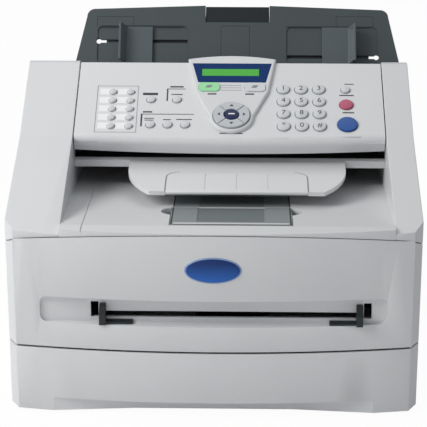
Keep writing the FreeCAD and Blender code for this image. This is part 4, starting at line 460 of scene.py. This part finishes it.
# Plain bars in place of words, on the panel and on the console.
PANEL_BARS = (  # x, u, width, height
    (-39.1, 60.4, 11.0, 1.3), (-64.8, 26.7, 9.5, 1.1), (-64.8, 24.2, 8.5, 1.1),
    (-47.6, 24.9, 7.5, 1.2), (-31.3, 25.2, 15.0, 1.2), (-66.7, 35.6, 9.0, 2.0),
    (-39.5, 71.3, 13.0, 2.0), (14.0, 6.6, 22.0, 1.4), (128.4, 76.4, 9.0, 1.2),
    (125.5, 60.3, 14.0, 1.5), (126.5, 36.0, 11.0, 1.6),
)
for index, (x, u, width, height) in enumerate(PANEL_BARS):
    panel_print(f"bar_{index}", x, u, rectangle(width, height), PRINT_DARK)
MODE_BAR_U = 57.8
MODE_BAR = rectangle(8.5, 1.9)
for index, x in enumerate((-5.0, 31.6)):
    panel_print(f"mode_bar_{index}", x, MODE_BAR_U, MODE_BAR, PRINT_DARK, CONSOLE_TOP)

# Grooves of the document tray and the shade along its pockets.
TRAY_LINES = (  # x, way up the tray, width, height
    (-104.0, 74.7, 37.0, 0.5), (-85.6, 69.3, 0.5, 11.0), (-122.4, 69.3, 0.5, 11.0),
    (136.5, 75.7, 37.0, 0.5), (118.0, 70.3, 0.5, 11.0), (155.0, 70.3, 0.5, 11.0),
    (16.6, 65.0, 28.6, 0.5), (2.4, 49.0, 0.5, 32.0), (30.8, 49.0, 0.5, 32.0),
    (-78.0, 63.9, 84.0, 1.0), (109.0, 64.4, 84.0, 1.0),
)
for index, (x, along, width, height) in enumerate(TRAY_LINES):
    flat(f"tray_line_{index}", rectangle(width, height), GROOVE_AND_SHADE, "housing",
         on_slope(TRAY_FOOT, TRAY_LEAN, x, along, PRINT_LIFT))

# Slider bands behind the slots of the document guides, near-black as painted shade in the slots.
BAND = rectangle(56.0, 6.6)
BAND_REACH = 77.0
BAND_LIFT = -4.4
for side, body, along in ((-1, "document_guide_left", 48.7), (1, "document_guide_right", 32.7)):
    flat(f"slider_band_{body}", BAND, GROOVE_AND_SHADE, body,
         on_slope(TRAY_FOOT, TRAY_LEAN, TRAY_CENTER + side * BAND_REACH, along, BAND_LIFT))

# Shade in the seam round the fold-out extension of the document output tray.
SEAM_CENTER = 20.0
SEAM_HALF = 66.8
SEAM_ROUND = 12.8
SEAM_BACK = -29.2
SEAM_FRONT = -75.4
SEAM_WIDTH = 0.7


def seam_edge(inset):
    """Line from the front along the side and round the rear corner, an inset from the seam."""
    reach = SEAM_ROUND - inset
    bends = [math.radians(angle) for angle in range(0, 91, 10)]
    return [(SEAM_HALF - inset, SEAM_FRONT)] + [
        (SEAM_HALF - SEAM_ROUND + reach * math.cos(bend),
         SEAM_BACK - SEAM_ROUND + reach * math.sin(bend)) for bend in bends]


seam_lines = seam_edge(0.0) + seam_edge(SEAM_WIDTH)
seam_count = len(seam_lines) // 2
seam_faces = [(i, i + 1, seam_count + i + 1, seam_count + i) for i in range(seam_count - 1)]
for side in (-1, 1):
    seam_points = [(side * x, along, 0.0) for x, along in seam_lines]
    piece(f"extension_seam_{side}", seam_points, seam_faces, FLAP_DEEP_SHADE, "housing",
          on_slope(OUTPUT_FOOT, OUTPUT_SLOPE, SEAM_CENTER, 0.0, PRINT_LIFT))

# Lip on the document support that fills its notch up to the top of the tray.
LIP_HALF = 31.9
LIP_LOW = 82.6
LIP_HIGH = 86.2
LIP_BACK = -12.9
LIP_FRONT = -1.3
lip_points = [(x, along, lift) for lift in (LIP_BACK, LIP_FRONT) for x, along in (
    (-LIP_HALF, LIP_LOW), (LIP_HALF, LIP_LOW), (LIP_HALF, LIP_HIGH), (-LIP_HALF, LIP_HIGH))]
lip_faces = [(3, 2, 1, 0), (4, 5, 6, 7), (0, 1, 5, 4), (1, 2, 6, 5), (2, 3, 7, 6), (3, 0, 4, 7)]
piece("support_lip", lip_points, lip_faces, BLACK, "document_support",
      on_slope(TRAY_FOOT, TRAY_LEAN, TRAY_CENTER, 0.0, 0.0))

# Painted shade on the support flap: dark lines in the gaps at its sides and front, a darker sunk
# middle, and a front bar left in shell grey. Painted shade on the floor carries its bands on under
# the output tray.
FLAP_X = 15.5
FLAP_LEFT = -38.0
FLAP_RIGHT = 69.0
FLAP_SINK = -0.8
EDGE_SHADE_WIDTH = 1.2
FLOOR_ALONG = 87.5
FLOOR_LENGTH = 40.0
FLOOR_COVER = 0.04
WELL_MARKS = {  # body: name, x, way up the floor, width, height, look, lift
    "support_flap": (
        ("flap_side_shade_left", FLAP_LEFT, 36.0, EDGE_SHADE_WIDTH, 58.0, GROOVE_AND_SHADE, 0.0),
        ("flap_side_shade_right", FLAP_RIGHT, 36.0, EDGE_SHADE_WIDTH, 58.0, GROOVE_AND_SHADE, 0.0),
        ("flap_front", FLAP_X, 6.9, 108.0, EDGE_SHADE_WIDTH, GROOVE_AND_SHADE, 0.0),
        ("flap_bar", FLAP_X, 10.4, 104.0, 4.6, SHELL, 0.0),
        ("flap_middle_shade", FLAP_X, 41.2, 60.0, 48.0, FLAP_DEEP_SHADE, FLAP_SINK),
    ),
    "housing": (
        ("floor_shade", FLAP_X, FLOOR_ALONG, 107.0, FLOOR_LENGTH, FLAP_SHADED, 0.0),
        ("floor_middle_shade", FLAP_X, FLOOR_ALONG, 60.0, FLOOR_LENGTH, FLAP_DEEP_SHADE, FLOOR_COVER),
        ("floor_side_shade_left", FLAP_LEFT, FLOOR_ALONG, EDGE_SHADE_WIDTH, FLOOR_LENGTH, GROOVE_AND_SHADE, FLOOR_COVER),
        ("floor_side_shade_right", FLAP_RIGHT, FLOOR_ALONG, EDGE_SHADE_WIDTH, FLOOR_LENGTH, GROOVE_AND_SHADE, FLOOR_COVER),
    ),
}
for body, marks in WELL_MARKS.items():
    for name, x, along, width, height, look, lift in marks:
        flat(name, rectangle(width, height), look, body,
             on_slope(WELL_EDGE, WELL_SLOPE, x, along, lift + PRINT_LIFT))

# Bare oval plate on the front: share of the oval and of the crown's height, from the edge inwards.
BADGE_Z = 146.0
BADGE_STEPS = 64
BADGE_DOME = ((1.0, 0.0), (0.97, 0.55), (0.9, 0.8), (0.6, 0.95), (0.25, 1.0))


def badge(name, half_width, half_height, base, crown, look):
    """A domed oval on the bowed front."""
    points = []
    for share, rise in BADGE_DOME:
        for across, up in circle(share, BADGE_STEPS):
            x = half_width * across
            bow = FRONT_BOW * (x / SHOULDER_X) ** 2
            points.append((x, FRONT_Y + bow - base - crown * rise, BADGE_Z + half_height * up))
    starts = [row * BADGE_STEPS for row in range(len(BADGE_DOME))]
    faces = [face for low, high in zip(starts, starts[1:])
             for face in strip(low, high, BADGE_STEPS)]
    faces.append(tuple(starts[-1] + i for i in range(BADGE_STEPS)))
    item = piece(name, points, faces, look, "front_cover")
    item.data.polygons.foreach_set("use_smooth", [True] * len(item.data.polygons))


badge("badge_rim", 25.6, 12.4, base=0.0, crown=1.0, look=BADGE_RIM)
badge("badge_face", 24.3, 11.3, base=0.5, crown=1.1, look=BADGE_SHEEN_BLUE)

# Studio in metres: pale floor, white surroundings and soft lights.
FLOOR_HALF = 6.0
FLOOR_DROP = 0.0002
FLOOR_GLOW = 0.96
WORLD_TINT = (0.95, 0.97, 1.0, 1.0)
WORLD_LIGHT = 0.34
PURE_WHITE = (1.0, 1.0, 1.0, 1.0)


def show_camera(tree, lit, seen, output, share):
    """Give the camera a share of another shader than the one that light meets."""
    ray = tree.nodes.new("ShaderNodeLightPath")
    part = multiply(tree, ray.outputs["Is Camera Ray"])
    part.inputs[1].default_value = share
    mix = tree.nodes.new("ShaderNodeMixShader")
    tree.links.new(part.outputs["Value"], mix.inputs["Fac"])
    tree.links.new(lit, mix.inputs[1])
    tree.links.new(seen, mix.inputs[2])
    tree.links.new(mix.outputs["Shader"], tree.nodes[output].inputs["Surface"])


floor_look = material("floor_white", "f4f4f4", "f0f0f1", roughness=0.8)
floor_tree = floor_look.node_tree
floor_glow = fill(floor_tree.nodes.new("ShaderNodeEmission"), {"Color": PURE_WHITE})
show_camera(floor_tree, floor_tree.nodes["Principled BSDF"].outputs["BSDF"],
            floor_glow.outputs["Emission"], "Material Output", FLOOR_GLOW)
floor_mesh = bpy.data.meshes.new("floor")
floor_corners = rectangle(2 * FLOOR_HALF, 2 * FLOOR_HALF)
floor_mesh.from_pydata([(x, y, 0.0) for x, y in floor_corners], [], [(0, 1, 2, 3)])
floor_mesh.materials.append(floor_look)
floor = add_object("floor", floor_mesh)
floor.location.z = -FLOOR_DROP

world = bpy.data.worlds.new("studio")
bpy.context.scene.world = world
world.use_nodes = True
sky = world.node_tree
background = fill(sky.nodes["Background"], {"Color": WORLD_TINT, "Strength": WORLD_LIGHT})
seen_sky = fill(sky.nodes.new("ShaderNodeBackground"), {"Color": PURE_WHITE, "Strength": 1.0})
show_camera(sky, background.outputs["Background"], seen_sky.outputs["Background"],
            "World Output", 1.0)


def face_along(item, direction):
    """Turn a light or camera to look in a direction."""
    item.rotation_euler = direction.to_track_quat("-Z", "Y").to_euler()


def soft_light(name, place, target, size, power, tint=(1.0, 1.0, 1.0)):
    """A square light that faces a target."""
    data = bpy.data.lights.new(name, "AREA")
    data.shape = "SQUARE"
    data.size = size
    data.energy = power
    data.color = tint
    item = add_object(name, data)
    item.location = place
    face_along(item, Vector(target) - Vector(place))


soft_light("key", (-1.2, -0.6, 1.2), (-0.05, 0.0, 0.15), size=0.8, power=17.0,
           tint=(1.0, 0.985, 0.965))
soft_light("top", (0.0, 0.7, 1.9), (0.0, 0.0, 0.2), size=1.2, power=6.0)
soft_light("front", (-0.5, -2.4, 0.5), (0.0, 0.0, 0.12), size=1.4, power=3.5)

# Camera at the photograph's viewing angle, with its place in millimetres.
CAMERA_PLACE = (30.0, -1613.8, 720.6)
CAMERA_DOWN = math.radians(20)
CAMERA_SIDEWAYS = -0.01936
CAMERA_LENS = 147.1
CAMERA_SENSOR = 36.0
CAMERA_REACH = 50.0
camera_data = bpy.data.cameras.new("camera")
camera_data.sensor_width = CAMERA_SENSOR
camera_data.lens = CAMERA_LENS
camera_data.clip_end = CAMERA_REACH
camera = add_object("camera", camera_data)
camera.location = Vector(CAMERA_PLACE) * MM
face_along(camera, Vector((CAMERA_SIDEWAYS, math.cos(CAMERA_DOWN), -math.sin(CAMERA_DOWN))))
bpy.context.scene.camera = camera
bpy.context.scene.view_settings.view_transform = "Standard"

bpy.context.view_layer.update()
